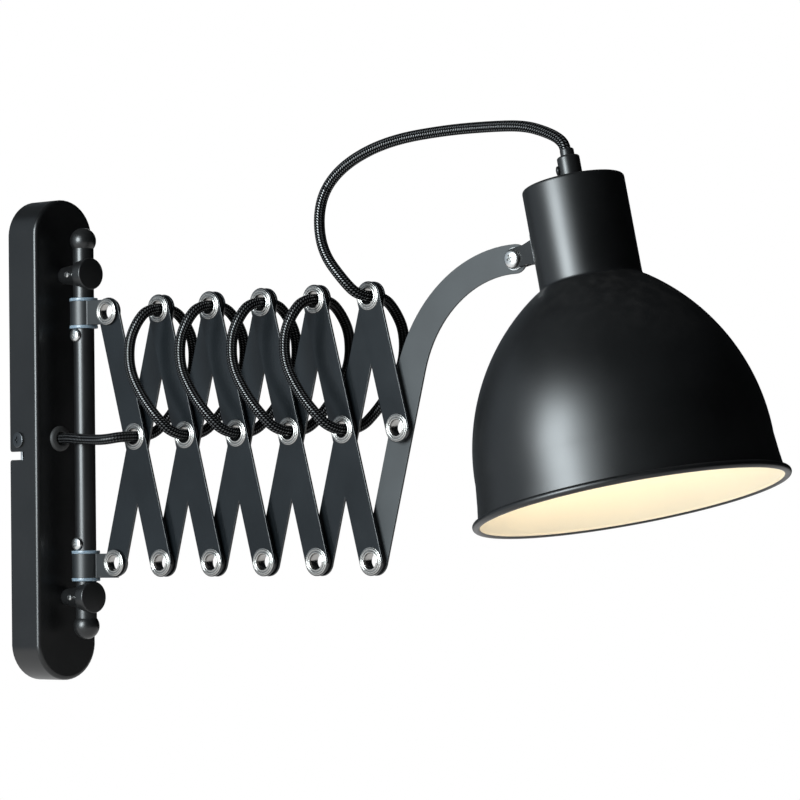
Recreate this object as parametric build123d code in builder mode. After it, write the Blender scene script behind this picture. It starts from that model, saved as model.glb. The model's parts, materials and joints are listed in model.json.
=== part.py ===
from build123d import *
from math import asin, atan2, cos, degrees, pi, radians, sin, sqrt, tan
import os

# Scissor wall lamp: pressed wall cover, pivot rod, scissor arm, swan neck and spun dome shade.
# Frame: back plane of the wall cover is y = 0, the lamp stands out toward -Y, +Z is up,
# and x = 0, z = 0 is the centre of the cover. Millimetres.

os.makedirs("parts", exist_ok=True)

# ---------------------------------------------------------------- shared fits and clearances
RUN = 0.06              # radial running clearance of a turning joint
PLAY = 0.10             # axial play beside a turning part
GAP = 0.30              # air between soft or curved faces of different bodies
PLATE_T = 1.5           # steel plate of the scissor bars and bracket ears

# ---------------------------------------------------------------- wall cover
COVER_W = 46.5
COVER_H = 300.0
COVER_D = 26.5
COVER_T = 1.2
COVER_EDGE_R = 2.6
NOTCH_Z = -9.9
NOTCH_H = 5.1
NOTCH_DEEP = 13.2
NOTCH_R = 1.6
SIDE_SCREW_Y = -8.5
SIDE_SCREW_R = 4.9
SIDE_SCREW_HEAD = 1.6
SIDE_SCREW_SHANK_R = 2.0

# inner wall strap and terminal block
STRAP_PLATE_W = 30.0
STRAP_PLATE_H = 190.0
STRAP_PLATE_T = 2.0
WALL_SCREW_PITCH = 120.0
WALL_SCREW_R = 2.75
TAB_T = 1.5
TAB_H = 12.0
TAB_DEEP = 15.0
BLOCK_W = 26.0
BLOCK_H = 13.0
BLOCK_D = 12.0
BLOCK_Z = 36.0

# ---------------------------------------------------------------- pivot rod and its posts
ROD_R = 6.5
ROD_Y = 45.0                        # rod axis in front of the wall
BALL_R = 8.1
BALL_TOP_Z = 123.2
BALL_LOW_Z = -116.3
SPIGOT_R = 3.0
SPIGOT_L = 6.0
POST_BASE_R = 5.3
POST_NECK_R = 7.2
POST_NECK_Y = 42.0                  # where the post starts to flare
POST_DISC_R = 9.9
POST_DISC_Y = 45.6                  # back corner of the round head
POST_FRONT_Y = 52.6
POST_TOP_Z = 102.4
POST_STUD_R = 2.5
POST_STUD_TIP_Y = 37.0
POST_SCREW_HEAD_R = 4.6
POST_SCREW_HEAD_T = 3.0
POST_SCREW_CROSS = 5.0
POST_SCREW_SLOT = 1.1
POST_SCREW_SLOT_T = 1.6
SET_SCREW_Y = 36.8
SET_SCREW_R = 1.9
SET_SCREW_OUT = 7.6

# ---------------------------------------------------------------- scissor arm
SWING_REST = 5.66                   # the arm rests turned this many degrees from straight out
PIVOT_S = 24.0                      # first pivots, from the rod axis
PITCH = 42.5                        # between neighbouring pivots of one row
BAR_C = 161.0                       # between the end pivots of one bar
BAR_W = 17.5
MID_Z = 0.4                         # height of the middle row
LAYER_GAP = 3.0                     # between the near and the far bars
N_CELLS = 5                         # whole crossings before the half bar and the swan arm

EYE_HOLE_R = 4.65
EYE_BARREL_R = 5.25
EYE_FLANGE_R = 8.3
EYE_FLANGE_T = 1.0
EYE_BACK_R = 7.6
EYE_BACK_T = 0.8
SPACER_R = 7.4

# brackets on the rod
BUSH_WALL = 0.6
BUSH_FLANGE_R = 8.8
BUSH_FLANGE_T = 2.0
CLIP_T = 1.4
CLIP_H = 15.0
LOW_CLIP_DROP = 1.7                 # the lower clip hangs a little below its pivot
EAR_END_R = 8.0
STOP_HEAD_R = 4.1
STOP_HEAD_T = 2.8
STOP_SHANK_R = 2.0
STOP_SEAT_X = 6.2

# ---------------------------------------------------------------- swan arm and shade
KNUCKLE_OUT = 86.65                 # knuckle, out from the last middle pivot
KNUCKLE_Z = 94.6
SWAN_END_R = 8.5
SWAN_IN_R = 71.8
SWAN_IN_Z = 14.3
SWAN_OUT_R = 94.4
SWAN_OUT_S = 87.85                  # centre of the outer arc, out from that pivot
SWAN_OUT_Z = 8.75
SHADE_TILT = 12.26
SHADE_OFF = 49.75                   # knuckle to the shade axis
SHADE_UP = 31.0                     # knuckle to the neck top, along the shade axis
SHADE_T = 1.0
NECK_R = 29.35
NECK_H = 58.5
NECK_EDGE_R = 2.0
RIM_R = 86.8                            # where the wall runs into the roll
RIM_H = 184.1
RIM_FLARE = 2.16                    # the straight band widens by this down to the rim
RIM_BAND = 22.8
BEAD_R = 2.2
BEAD_OUT = 1.6                          # the roll sits this far outside the wall
DOME_R = RIM_R - RIM_FLARE
DOME_ARC_H = RIM_H - RIM_BAND
# the dome's arc leaves the band upright and meets the neck's lower edge
DOME_ARC_IN = ((DOME_ARC_H - NECK_H) ** 2 + NECK_R**2 - DOME_R**2) / (2 * (DOME_R - NECK_R))
DOME_ARC_R = DOME_R + DOME_ARC_IN
DOME_MID_H = (NECK_H + DOME_ARC_H) / 2
KNUCKLE_WASHER_T = 0.8
KNUCKLE_WASHER_R = 6.6
KNUCKLE_SHANK_R = 2.5
KNUCKLE_HEAD_R = 5.2
KNUCKLE_HEAD_T = 2.9
KNUCKLE_NUT_AF = 8.0
KNUCKLE_NUT_T = 4.0
CLEVIS_END_R = 5.8
CLEVIS_BASE_H = 16.0
CLEVIS_BASE_T = 1.5
CLEVIS_HALF_ANGLE = 21.0

# cord grip and lampholder
GRIP_R = 6.5
GRIP_H = 15.6
GRIP_COLLAR_R = 4.0
GRIP_COLLAR_H = 4.4
GRIP_SCREW_R = 2.9
GRIP_SCREW_OUT = 1.7
HOLDER_R = 19.5
HOLDER_L = 52.0
HOLDER_BORE_R = 13.4
HOLDER_BORE_L = 30.0
NIPPLE_R = 5.0

# ---------------------------------------------------------------- cord and grommet
CORD_R = 3.25
LOOP_DROP_IN = 11.35                # the free loop's last bend, back from and over the neck top
LOOP_DROP_UP = 27.6
LOOP_GRIP_RUN = 3.8                 # straight run into the grip
GROMMET_X = -5.0
GROMMET_Z = 0.5
GROMMET_R = 8.0
GROMMET_OUT = 2.6
GROMMET_WALL_R = 6.0
GROMMET_IN = 1.6
GROMMET_MOUTH = 1.8

# ---------------------------------------------------------------- derived places
theta = degrees(asin(PITCH / BAR_C))
HALF_H = BAR_C * cos(radians(theta)) / 2
TOP_Z = MID_Z + HALF_H
LOW_Z = MID_Z - HALF_H
NEAR_N = LAYER_GAP / 2
FAR_N = -LAYER_GAP / 2 - PLATE_T
swing = radians(SWING_REST)
OUT_X, OUT_Y = sin(swing), -cos(swing)

# local x runs out along the arm, local y is up, the normal points to the near side
arm = Plane(origin=(0, -ROD_Y, 0), x_dir=(OUT_X, OUT_Y, 0), z_dir=(OUT_Y, -OUT_X, 0))


def top_s(i):
    return PIVOT_S + (i - 1) * PITCH


def mid_s(i):
    return PIVOT_S + (i - 0.5) * PITCH


def at_arm(s, z, n):
    """World point of arm coordinates: out, up, toward the near side."""
    return arm.from_local_coords(Vector(s, z, n))


def deck(z):
    """Level plane through the rod axis, local x out along the arm, local y near, normal down."""
    return Plane(origin=(0, -ROD_Y, z), x_dir=(OUT_X, OUT_Y, 0), z_dir=(0, 0, -1))


def save(builder, name):
    builder.part.label = name
    export_step(builder.part, f"parts/{name}.step")


def radii_for(points):
    """Bend radii at the inner points of a route: 0.45 of the shorter run over tan(half turn)."""
    vs = [Vector(*p) for p in points]
    out = []
    for a, b, c in zip(vs, vs[1:], vs[2:]):
        turn = radians((b - a).get_angle(c - b))
        run = min((b - a).length, (c - b).length)
        out.append(0.45 * run / tan(turn / 2))
    return out


def cord_tube(points, cuts=()):
    """Round cord along straight runs joined by tangent arcs, trimmed by the given planes."""
    radii = radii_for(points)
    with BuildPart() as tube:
        with BuildLine() as route:
            FilletPolyline(*points, radius=radii)
        line = route.wires()[0]
        with BuildSketch(Plane(origin=line @ 0, z_dir=line % 0)):
            Circle(CORD_R)
        sweep(path=line)
        for plane, keep in cuts:
            split(bisect_by=plane, keep=keep)
    return tube, radii, line.length


def eyelet(s, z, n_face, n_back):
    """Tubular rivet: rolled near flange on n_face, barrel, turned-over rim behind n_back."""
    seat = Plane(
        origin=at_arm(s, z, 0), x_dir=(OUT_X, OUT_Y, 0), z_dir=(0, 0, -1)
    )
    with BuildSketch(seat) as section:
        with BuildLine():
            Polyline(
                (EYE_HOLE_R, n_back - EYE_BACK_T + 0.2),
                (EYE_HOLE_R, n_face + EYE_FLANGE_T - 0.5),
                (EYE_HOLE_R + 0.5, n_face + EYE_FLANGE_T),
                (EYE_BARREL_R + 1.1, n_face + EYE_FLANGE_T),
                (EYE_BARREL_R + 1.4, n_face + EYE_FLANGE_T - 0.35),
                (EYE_FLANGE_R - 0.5, n_face + EYE_FLANGE_T - 0.35),
                (EYE_FLANGE_R, n_face + 0.25),
                (EYE_FLANGE_R, n_face),
                (EYE_BARREL_R, n_face),
                (EYE_BARREL_R, n_back),
                (EYE_BACK_R, n_back),
                (EYE_BACK_R - 0.4, n_back - EYE_BACK_T),
                (EYE_HOLE_R + 0.4, n_back - EYE_BACK_T),
                close=True,
            )
        make_face()
    revolve(section.sketch, axis=Axis(at_arm(s, z, 0), arm.z_dir), revolution_arc=360)


# ================================================================ wall cover and inside
with BuildPart() as wall_cover:
    with BuildSketch(Plane.XZ):
        SlotOverall(COVER_H, COVER_W, rotation=90)
    extrude(amount=COVER_D)
    fillet(wall_cover.faces().sort_by(Axis.Y)[0].edges(), COVER_EDGE_R)
    with BuildSketch(Plane.XZ):
        SlotOverall(COVER_H - 2 * COVER_T, COVER_W - 2 * COVER_T, rotation=90)
    extrude(amount=COVER_D - COVER_T, mode=Mode.SUBTRACT)
    with BuildSketch(Plane.XZ.offset(COVER_D / 2)):
        with Locations((GROMMET_X, GROMMET_Z)):
            Circle(GROMMET_WALL_R)
        with Locations((0, POST_TOP_Z)):
            Circle(POST_STUD_R)
    extrude(amount=COVER_D, mode=Mode.SUBTRACT)
    post_low_z = LOW_Z - LOW_CLIP_DROP - CLIP_H / 2 - BUSH_FLANGE_T - PLAY - POST_DISC_R
    with BuildSketch(Plane.XZ.offset(COVER_D / 2)):
        with Locations((0, post_low_z)):
            Circle(POST_STUD_R)
    extrude(amount=COVER_D, mode=Mode.SUBTRACT)
    with Locations(Location((0, SIDE_SCREW_Y, 0), (0, 90, 0))):
        Cylinder(SIDE_SCREW_SHANK_R, COVER_W + 2, mode=Mode.SUBTRACT)
    # cable notch in the near side wall, open at the back, with rounded lips
    with BuildSketch(Plane.YZ.offset(-COVER_W / 2 - 1)):
        with Locations((-NOTCH_DEEP / 2 + 1, NOTCH_Z)):
            Rectangle(NOTCH_DEEP + 2, NOTCH_H)
        with Locations((-NOTCH_R / 2 + 1, NOTCH_Z)):
            Rectangle(NOTCH_R + 2, NOTCH_H + 2 * NOTCH_R)
        with Locations(
            (-NOTCH_R, NOTCH_Z + NOTCH_H / 2 + NOTCH_R),
            (-NOTCH_R, NOTCH_Z - NOTCH_H / 2 - NOTCH_R),
        ):
            Circle(NOTCH_R, mode=Mode.SUBTRACT)
    extrude(amount=COVER_T + 2, mode=Mode.SUBTRACT)
save(wall_cover, "wall_cover")

inner_half_w = COVER_W / 2 - COVER_T
with BuildPart() as wall_strap:
    with BuildSketch(Plane.XZ):
        SlotOverall(STRAP_PLATE_H, STRAP_PLATE_W, rotation=90)
        Rectangle(2 * inner_half_w, TAB_H)
        with Locations((0, WALL_SCREW_PITCH / 2), (0, -WALL_SCREW_PITCH / 2)):
            Circle(WALL_SCREW_R, mode=Mode.SUBTRACT)
    extrude(amount=STRAP_PLATE_T)
    for side in (-1, 1):
        with Locations((side * (inner_half_w - TAB_T / 2), -TAB_DEEP / 2, 0)):
            Box(TAB_T, TAB_DEEP, TAB_H)
    with Locations(Location((0, SIDE_SCREW_Y, 0), (0, 90, 0))):
        Cylinder(SIDE_SCREW_SHANK_R, COVER_W, mode=Mode.SUBTRACT)
save(wall_strap, "wall_strap")

with BuildPart() as side_screws:
    for side in (-1, 1):
        seat = Plane(origin=(side * COVER_W / 2, SIDE_SCREW_Y, 0), z_dir=(side, 0, 0))
        with BuildSketch(seat):
            Circle(SIDE_SCREW_R)
        extrude(amount=SIDE_SCREW_HEAD, taper=22)
        with BuildSketch(seat):
            Circle(SIDE_SCREW_SHANK_R)
        extrude(amount=-(COVER_T + TAB_T + 3.0))
        with BuildSketch(seat.offset(SIDE_SCREW_HEAD)):
            Rectangle(5.0, 1.1)
            Rectangle(1.1, 5.0)
        extrude(amount=-1.1, mode=Mode.SUBTRACT)
save(side_screws, "side_screws")

with BuildPart() as terminal_block:
    with Locations((0, -STRAP_PLATE_T - BLOCK_D / 2, BLOCK_Z)):
        Box(BLOCK_W, BLOCK_D, BLOCK_H)
    block_front = Plane.XZ.offset(STRAP_PLATE_T + BLOCK_D)
    with BuildSketch(block_front):
        with Locations((0, BLOCK_Z)):
            with GridLocations(BLOCK_W / 3, 0, 3, 1):
                Circle(2.8)
    extrude(amount=3.0)
    with BuildSketch(block_front.offset(3.0)):
        with Locations((0, BLOCK_Z)):
            with GridLocations(BLOCK_W / 3, 0, 3, 1):
                Circle(1.8)
    extrude(amount=-5.0, mode=Mode.SUBTRACT)
    with Locations((0, -STRAP_PLATE_T - BLOCK_D / 2, BLOCK_Z)):
        with GridLocations(BLOCK_W / 3, 0, 3, 1):
            Cylinder(1.6, BLOCK_H + 2, mode=Mode.SUBTRACT)
save(terminal_block, "terminal_block")

with BuildPart() as cord_grommet:
    with BuildSketch(Plane(origin=(GROMMET_X, 0, GROMMET_Z), x_dir=(0, -1, 0), z_dir=(1, 0, 0))):
        with BuildLine():
            Polyline(
                (COVER_D - COVER_T - GROMMET_IN, CORD_R),
                (COVER_D + GROMMET_OUT - GROMMET_MOUTH, CORD_R),
                (COVER_D + GROMMET_OUT, CORD_R + 1.0),
                (COVER_D + GROMMET_OUT - 0.9, GROMMET_R - 0.9),
                (COVER_D + 0.6, GROMMET_R),
                (COVER_D, GROMMET_R),
                (COVER_D, GROMMET_WALL_R),
                (COVER_D - COVER_T, GROMMET_WALL_R),
                (COVER_D - COVER_T, GROMMET_R - 0.6),
                (COVER_D - COVER_T - GROMMET_IN, GROMMET_R - 1.4),
                close=True,
            )
        make_face()
    revolve(axis=Axis((GROMMET_X, 0, GROMMET_Z), (0, -1, 0)), revolution_arc=360)
save(cord_grommet, "cord_grommet")

# ================================================================ posts, rod, balls, stops
rod_top = BALL_TOP_Z - sqrt(BALL_R**2 - ROD_R**2)
rod_low = BALL_LOW_Z + sqrt(BALL_R**2 - ROD_R**2)
post_zs = (POST_TOP_Z, post_low_z)

with BuildPart() as rod_posts:
    for zp in post_zs:
        with BuildSketch(Plane(origin=(0, 0, zp), x_dir=(0, -1, 0), z_dir=(1, 0, 0))):
            with BuildLine():
                Polyline(
                    (COVER_D, 0),
                    (COVER_D, POST_BASE_R),
                    (POST_NECK_Y, POST_NECK_R),
                    (POST_DISC_Y - 0.9, POST_DISC_R - 0.6),
                    (POST_DISC_Y, POST_DISC_R),
                    (POST_FRONT_Y - 0.7, POST_DISC_R),
                    (POST_FRONT_Y, POST_DISC_R - 0.7),
                    (POST_FRONT_Y, 0),
                    close=True,
                )
            make_face()
        revolve(axis=Axis((0, 0, zp), (0, -1, 0)), revolution_arc=360)
        with Locations((0, -ROD_Y, zp)):
            Cylinder(ROD_R, 3 * POST_DISC_R, mode=Mode.SUBTRACT)
        with BuildSketch(Plane.XZ.offset(COVER_D)):
            with Locations((0, zp)):
                Circle(POST_STUD_R)
        extrude(amount=POST_STUD_TIP_Y - COVER_D, mode=Mode.SUBTRACT)
        with BuildSketch(Plane(origin=(-POST_STUD_R, -SET_SCREW_Y, zp), z_dir=(-1, 0, 0))):
            Circle(SET_SCREW_R)
        extrude(amount=POST_NECK_R, mode=Mode.SUBTRACT)
save(rod_posts, "rod_posts")

with BuildPart() as post_screws:
    for zp in post_zs:
        inside = Plane.XZ.offset(COVER_D - COVER_T)
        with BuildSketch(inside):
            with Locations((0, zp)):
                Circle(POST_SCREW_HEAD_R)
        extrude(amount=-POST_SCREW_HEAD_T)
        with BuildSketch(inside):
            with Locations((0, zp)):
                Circle(POST_STUD_R)
        extrude(amount=POST_STUD_TIP_Y - COVER_D + COVER_T)
        with BuildSketch(inside.offset(-POST_SCREW_HEAD_T)):
            with Locations((0, zp)):
                Rectangle(POST_SCREW_CROSS, POST_SCREW_SLOT)
                Rectangle(POST_SCREW_SLOT, POST_SCREW_CROSS)
        extrude(amount=POST_SCREW_SLOT_T, mode=Mode.SUBTRACT)
save(post_screws, "post_screws")

with BuildPart() as post_set_screws:
    for zp in post_zs:
        with BuildSketch(Plane(origin=(-POST_STUD_R, -SET_SCREW_Y, zp), z_dir=(-1, 0, 0))):
            Circle(SET_SCREW_R)
        extrude(amount=SET_SCREW_OUT - POST_STUD_R)
        with BuildSketch(Plane(origin=(-SET_SCREW_OUT, -SET_SCREW_Y, zp), z_dir=(-1, 0, 0))):
            RegularPolygon(1.2, 6)
        extrude(amount=-2.0, mode=Mode.SUBTRACT)
save(post_set_screws, "post_set_screws")

STOP_TOP_Z = TOP_Z - CLIP_H / 2 - BUSH_FLANGE_T - PLAY - STOP_HEAD_R
STOP_LOW_Z = LOW_Z - LOW_CLIP_DROP + CLIP_H / 2 + BUSH_FLANGE_T + PLAY + STOP_HEAD_R
stop_zs = (STOP_TOP_Z, STOP_LOW_Z)

with BuildPart() as pivot_rod:
    with Locations((0, -ROD_Y, (rod_top + rod_low) / 2)):
        Cylinder(ROD_R, rod_top - rod_low)
    with Locations((0, -ROD_Y, (rod_top + rod_low) / 2)):
        Cylinder(SPIGOT_R, rod_top - rod_low + 2 * SPIGOT_L)
    for zs in stop_zs:
        with BuildSketch(Plane(origin=(-STOP_SEAT_X, -ROD_Y, zs), z_dir=(-1, 0, 0))):
            Circle(STOP_HEAD_R)
        extrude(amount=2.0, mode=Mode.SUBTRACT)
        with BuildSketch(Plane(origin=(-STOP_SEAT_X, -ROD_Y, zs), z_dir=(-1, 0, 0))):
            Circle(STOP_SHANK_R)
        extrude(amount=-6.0, mode=Mode.SUBTRACT)
save(pivot_rod, "pivot_rod")

with BuildPart() as rod_balls:
    for zb, up in ((BALL_TOP_Z, 1), (BALL_LOW_Z, -1)):
        with Locations((0, -ROD_Y, zb)):
            Sphere(BALL_R)
        flat = rod_top if up > 0 else rod_low
        with Locations((0, -ROD_Y, flat - up * BALL_R)):
            Box(3 * BALL_R, 3 * BALL_R, 2 * BALL_R, mode=Mode.SUBTRACT)
        with Locations((0, -ROD_Y, flat + up * SPIGOT_L / 2)):
            Cylinder(SPIGOT_R, SPIGOT_L, mode=Mode.SUBTRACT)
save(rod_balls, "rod_balls")

with BuildPart() as stop_screws:
    for zs in stop_zs:
        seat = Plane(origin=(-STOP_SEAT_X, -ROD_Y, zs), z_dir=(-1, 0, 0))
        with BuildSketch(seat):
            Circle(STOP_HEAD_R)
        extrude(amount=1.4)
        with BuildSketch(seat.offset(1.4)):
            Circle(STOP_HEAD_R)
        extrude(amount=STOP_HEAD_T - 1.4, taper=35)
        with BuildSketch(seat):
            Circle(STOP_SHANK_R)
        extrude(amount=-5.8)
        with BuildSketch(seat.offset(STOP_HEAD_T)):
            Rectangle(4.2, 0.9)
            Rectangle(0.9, 4.2)
        extrude(amount=-1.5, mode=Mode.SUBTRACT)
save(stop_screws, "stop_screws")

# ================================================================ brackets on the rod
bush_in = ROD_R + RUN
clip_in = bush_in + BUSH_WALL
clip_out = clip_in + CLIP_T


def bracket_bush(zc):
    """Flanged plastic bush that carries one bracket on the rod."""
    with Locations((0, -ROD_Y, zc)):
        Cylinder(clip_in, CLIP_H)
    for up in (-1, 1):
        with Locations((0, -ROD_Y, zc + up * (CLIP_H + BUSH_FLANGE_T) / 2)):
            Cylinder(BUSH_FLANGE_R, BUSH_FLANGE_T)
    with Locations((0, -ROD_Y, zc)):
        Cylinder(bush_in, CLIP_H + 4 * BUSH_FLANGE_T, mode=Mode.SUBTRACT)


def bracket_clip(zc, z_pivot, n_low):
    """Strap around the bush with two ears beside one bar that starts at layer n_low."""
    ears = (n_low + PLATE_T + PLAY, n_low - PLATE_T - PLAY)
    with BuildSketch(deck(zc)) as ring:
        Circle(clip_out)
        Circle(clip_in, mode=Mode.SUBTRACT)
    extrude(ring.sketch, amount=CLIP_H / 2, both=True)
    for n0 in ears:
        with BuildSketch(arm.offset(n0)) as ear:
            with Locations(((clip_in + PIVOT_S) / 2, zc)):
                Rectangle(PIVOT_S - clip_in, CLIP_H)
            with Locations((PIVOT_S, z_pivot)):
                Circle(EAR_END_R)
        extrude(ear.sketch, amount=PLATE_T)
    # opening of the strap between the ears, bush bore and eyelet holes
    with BuildSketch(deck(zc)) as mouth:
        with Locations((clip_out, n_low + PLATE_T / 2)):
            Rectangle(clip_out, PLATE_T + 2 * PLAY)
    extrude(mouth.sketch, amount=CLIP_H, both=True, mode=Mode.SUBTRACT)
    with BuildSketch(deck(zc)) as bore:
        Circle(clip_in)
    extrude(bore.sketch, amount=CLIP_H, both=True, mode=Mode.SUBTRACT)
    with BuildSketch(arm.offset(n_low - 10)) as pin:
        with Locations((PIVOT_S, z_pivot)):
            Circle(EYE_BARREL_R)
    extrude(pin.sketch, amount=20, mode=Mode.SUBTRACT)


low_clip_z = LOW_Z - LOW_CLIP_DROP
with BuildPart() as lower_bush:
    bracket_bush(low_clip_z)
save(lower_bush, "lower_bush")
with BuildPart() as lower_bracket:
    bracket_clip(low_clip_z, LOW_Z, FAR_N)
save(lower_bracket, "lower_bracket")
with BuildPart() as lower_eyelet:
    eyelet(PIVOT_S, LOW_Z, FAR_N + 2 * PLATE_T + PLAY, FAR_N - PLATE_T - PLAY)
save(lower_eyelet, "lower_eyelet")

with BuildPart() as upper_bush:
    bracket_bush(TOP_Z)
save(upper_bush, "upper_bush")
with BuildPart() as upper_bracket:
    bracket_clip(TOP_Z, TOP_Z, NEAR_N)
save(upper_bracket, "upper_bracket")
with BuildPart() as upper_eyelet:
    eyelet(PIVOT_S, TOP_Z, NEAR_N + 2 * PLATE_T + PLAY, NEAR_N - PLATE_T - PLAY)
save(upper_eyelet, "upper_eyelet")

# ================================================================ scissor bars
run_r = EYE_BARREL_R + RUN


def near_bar(i):
    """Bar from top pivot i down to bottom pivot i + 1; the eyelets are fixed in it."""
    with BuildSketch(arm.offset(NEAR_N)) as plate:
        with Locations((mid_s(i), MID_Z)):
            SlotCenterToCenter(BAR_C, BAR_W, rotation=theta - 90)
        with Locations((top_s(i), TOP_Z)):
            Circle(run_r if i == 1 else EYE_BARREL_R, mode=Mode.SUBTRACT)
        with Locations((mid_s(i), MID_Z), (top_s(i + 1), LOW_Z)):
            Circle(EYE_BARREL_R, mode=Mode.SUBTRACT)
    extrude(plate.sketch, amount=PLATE_T)


def far_bar(i):
    """Bar from bottom pivot i up to top pivot i + 1; it turns on the eyelets."""
    with BuildSketch(arm.offset(FAR_N)) as plate:
        with Locations((mid_s(i), MID_Z)):
            SlotCenterToCenter(BAR_C, BAR_W, rotation=90 - theta)
        with Locations((top_s(i), LOW_Z), (mid_s(i), MID_Z), (top_s(i + 1), TOP_Z)):
            Circle(run_r, mode=Mode.SUBTRACT)
    extrude(plate.sketch, amount=PLATE_T)


LAST = N_CELLS + 1
for i in range(1, LAST):
    with BuildPart() as bar:
        near_bar(i)
    save(bar, f"near_bar_{i}")
    with BuildPart() as bar:
        far_bar(i)
    save(bar, f"far_bar_{i}")

with BuildPart() as half_bar:
    with BuildSketch(arm.offset(NEAR_N)):
        with Locations(((top_s(LAST) + mid_s(LAST)) / 2, (TOP_Z + MID_Z) / 2)):
            SlotCenterToCenter(BAR_C / 2, BAR_W, rotation=theta - 90)
        with Locations((top_s(LAST), TOP_Z), (mid_s(LAST), MID_Z)):
            Circle(EYE_BARREL_R, mode=Mode.SUBTRACT)
    extrude(amount=PLATE_T)
save(half_bar, f"near_bar_{LAST}")

# eyelets and spacer rings that ride on each near bar
near_face = NEAR_N + PLATE_T
far_face = FAR_N - PLAY
for i in range(1, LAST + 1):
    spots = [(mid_s(i), MID_Z)]
    if i > 1:
        spots.append((top_s(i), TOP_Z))
    if i < LAST:
        spots.append((top_s(i + 1), LOW_Z))
    with BuildPart() as eyelets:
        for s, z in spots:
            eyelet(s, z, near_face, far_face)
    save(eyelets, f"eyelets_{i}")
    with BuildPart() as spacers:
        for s, z in spots:
            with BuildSketch(arm.offset(FAR_N + PLATE_T + PLAY)):
                with Locations((s, z)):
                    Circle(SPACER_R)
                    Circle(EYE_BARREL_R, mode=Mode.SUBTRACT)
            extrude(amount=LAYER_GAP - PLAY)
    save(spacers, f"spacers_{i}")

# ================================================================ swan arm
along = radians(90 - theta)
side = (sin(along), -cos(along))            # unit, square to the bar, on the shade side
low_s, mid6_s = top_s(LAST), mid_s(LAST)
half_w = BAR_W / 2
knuckle_s = mid6_s + KNUCKLE_OUT
out_s = mid6_s + SWAN_OUT_S
base_s = mid6_s + (SWAN_IN_Z - MID_Z) * tan(radians(theta)) + half_w / cos(radians(theta))
in_s = base_s + SWAN_IN_R / cos(radians(theta))
in_start = (in_s - SWAN_IN_R * side[0], SWAN_IN_Z - SWAN_IN_R * side[1])
out_start = (out_s - SWAN_OUT_R * side[0], SWAN_OUT_Z - SWAN_OUT_R * side[1])


def on_arc(cs, cz, r, s):
    return (s, cz + sqrt(r * r - (s - cs) ** 2))


in_end = on_arc(in_s, SWAN_IN_Z, SWAN_IN_R, knuckle_s)
out_end = on_arc(out_s, SWAN_OUT_Z, SWAN_OUT_R, knuckle_s)
in_mid = on_arc(in_s, SWAN_IN_Z, SWAN_IN_R, in_start[0] + 20)
out_mid = on_arc(out_s, SWAN_OUT_Z, SWAN_OUT_R, out_start[0] + 28)
low_in = (low_s + half_w * side[0], LOW_Z + half_w * side[1])
low_out = (low_s - half_w * side[0], LOW_Z - half_w * side[1])
tip = (low_s - half_w * cos(along), LOW_Z - half_w * sin(along))
mid_out = (mid6_s - half_w * side[0], MID_Z - half_w * side[1])
end_tip = (knuckle_s + SWAN_END_R, (in_end[1] + out_end[1]) / 2)

with BuildPart() as swan_arm:
    with BuildSketch(arm.offset(FAR_N)):
        with BuildLine():
            Line(low_in, in_start)
            ThreePointArc(in_start, in_mid, in_end)
            ThreePointArc(in_end, end_tip, out_end)
            ThreePointArc(out_end, out_mid, out_start)
            Spline(
                out_start,
                mid_out,
                tangents=((-cos(along), -sin(along)), (-cos(along), -sin(along))),
            )
            Line(mid_out, low_out)
            ThreePointArc(low_out, tip, low_in)
        make_face()
        with Locations((low_s, LOW_Z), (mid6_s, MID_Z)):
            Circle(run_r, mode=Mode.SUBTRACT)
        with Locations((knuckle_s, KNUCKLE_Z)):
            Circle(KNUCKLE_SHANK_R + RUN, mode=Mode.SUBTRACT)
    extrude(amount=PLATE_T)
save(swan_arm, "swan_arm")

# ================================================================ shade
ARM_N = FAR_N + PLATE_T / 2                 # middle of the swan arm plate
tilt = radians(SHADE_TILT)
ax_s, ax_z = sin(tilt), -cos(tilt)          # shade axis, pointing to the mouth
neck_s = knuckle_s + SHADE_OFF * cos(tilt) - SHADE_UP * sin(tilt)
neck_z = KNUCKLE_Z + SHADE_OFF * sin(tilt) + SHADE_UP * cos(tilt)
neck_top = at_arm(neck_s, neck_z, ARM_N)
axis_dir = at_arm(neck_s + ax_s, neck_z + ax_z, ARM_N) - neck_top
away_dir = at_arm(neck_s + cos(tilt), neck_z + sin(tilt), ARM_N) - neck_top
shade_axis = Axis(neck_top, axis_dir)
# local x away from the arm, local y to the mouth
profile_plane = Plane(
    origin=neck_top, x_dir=away_dir, z_dir=away_dir.cross(axis_dir)
)


def dome_r(h, inset):
    return sqrt((DOME_ARC_R - inset) ** 2 - (DOME_ARC_H - h) ** 2) - DOME_ARC_IN


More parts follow.
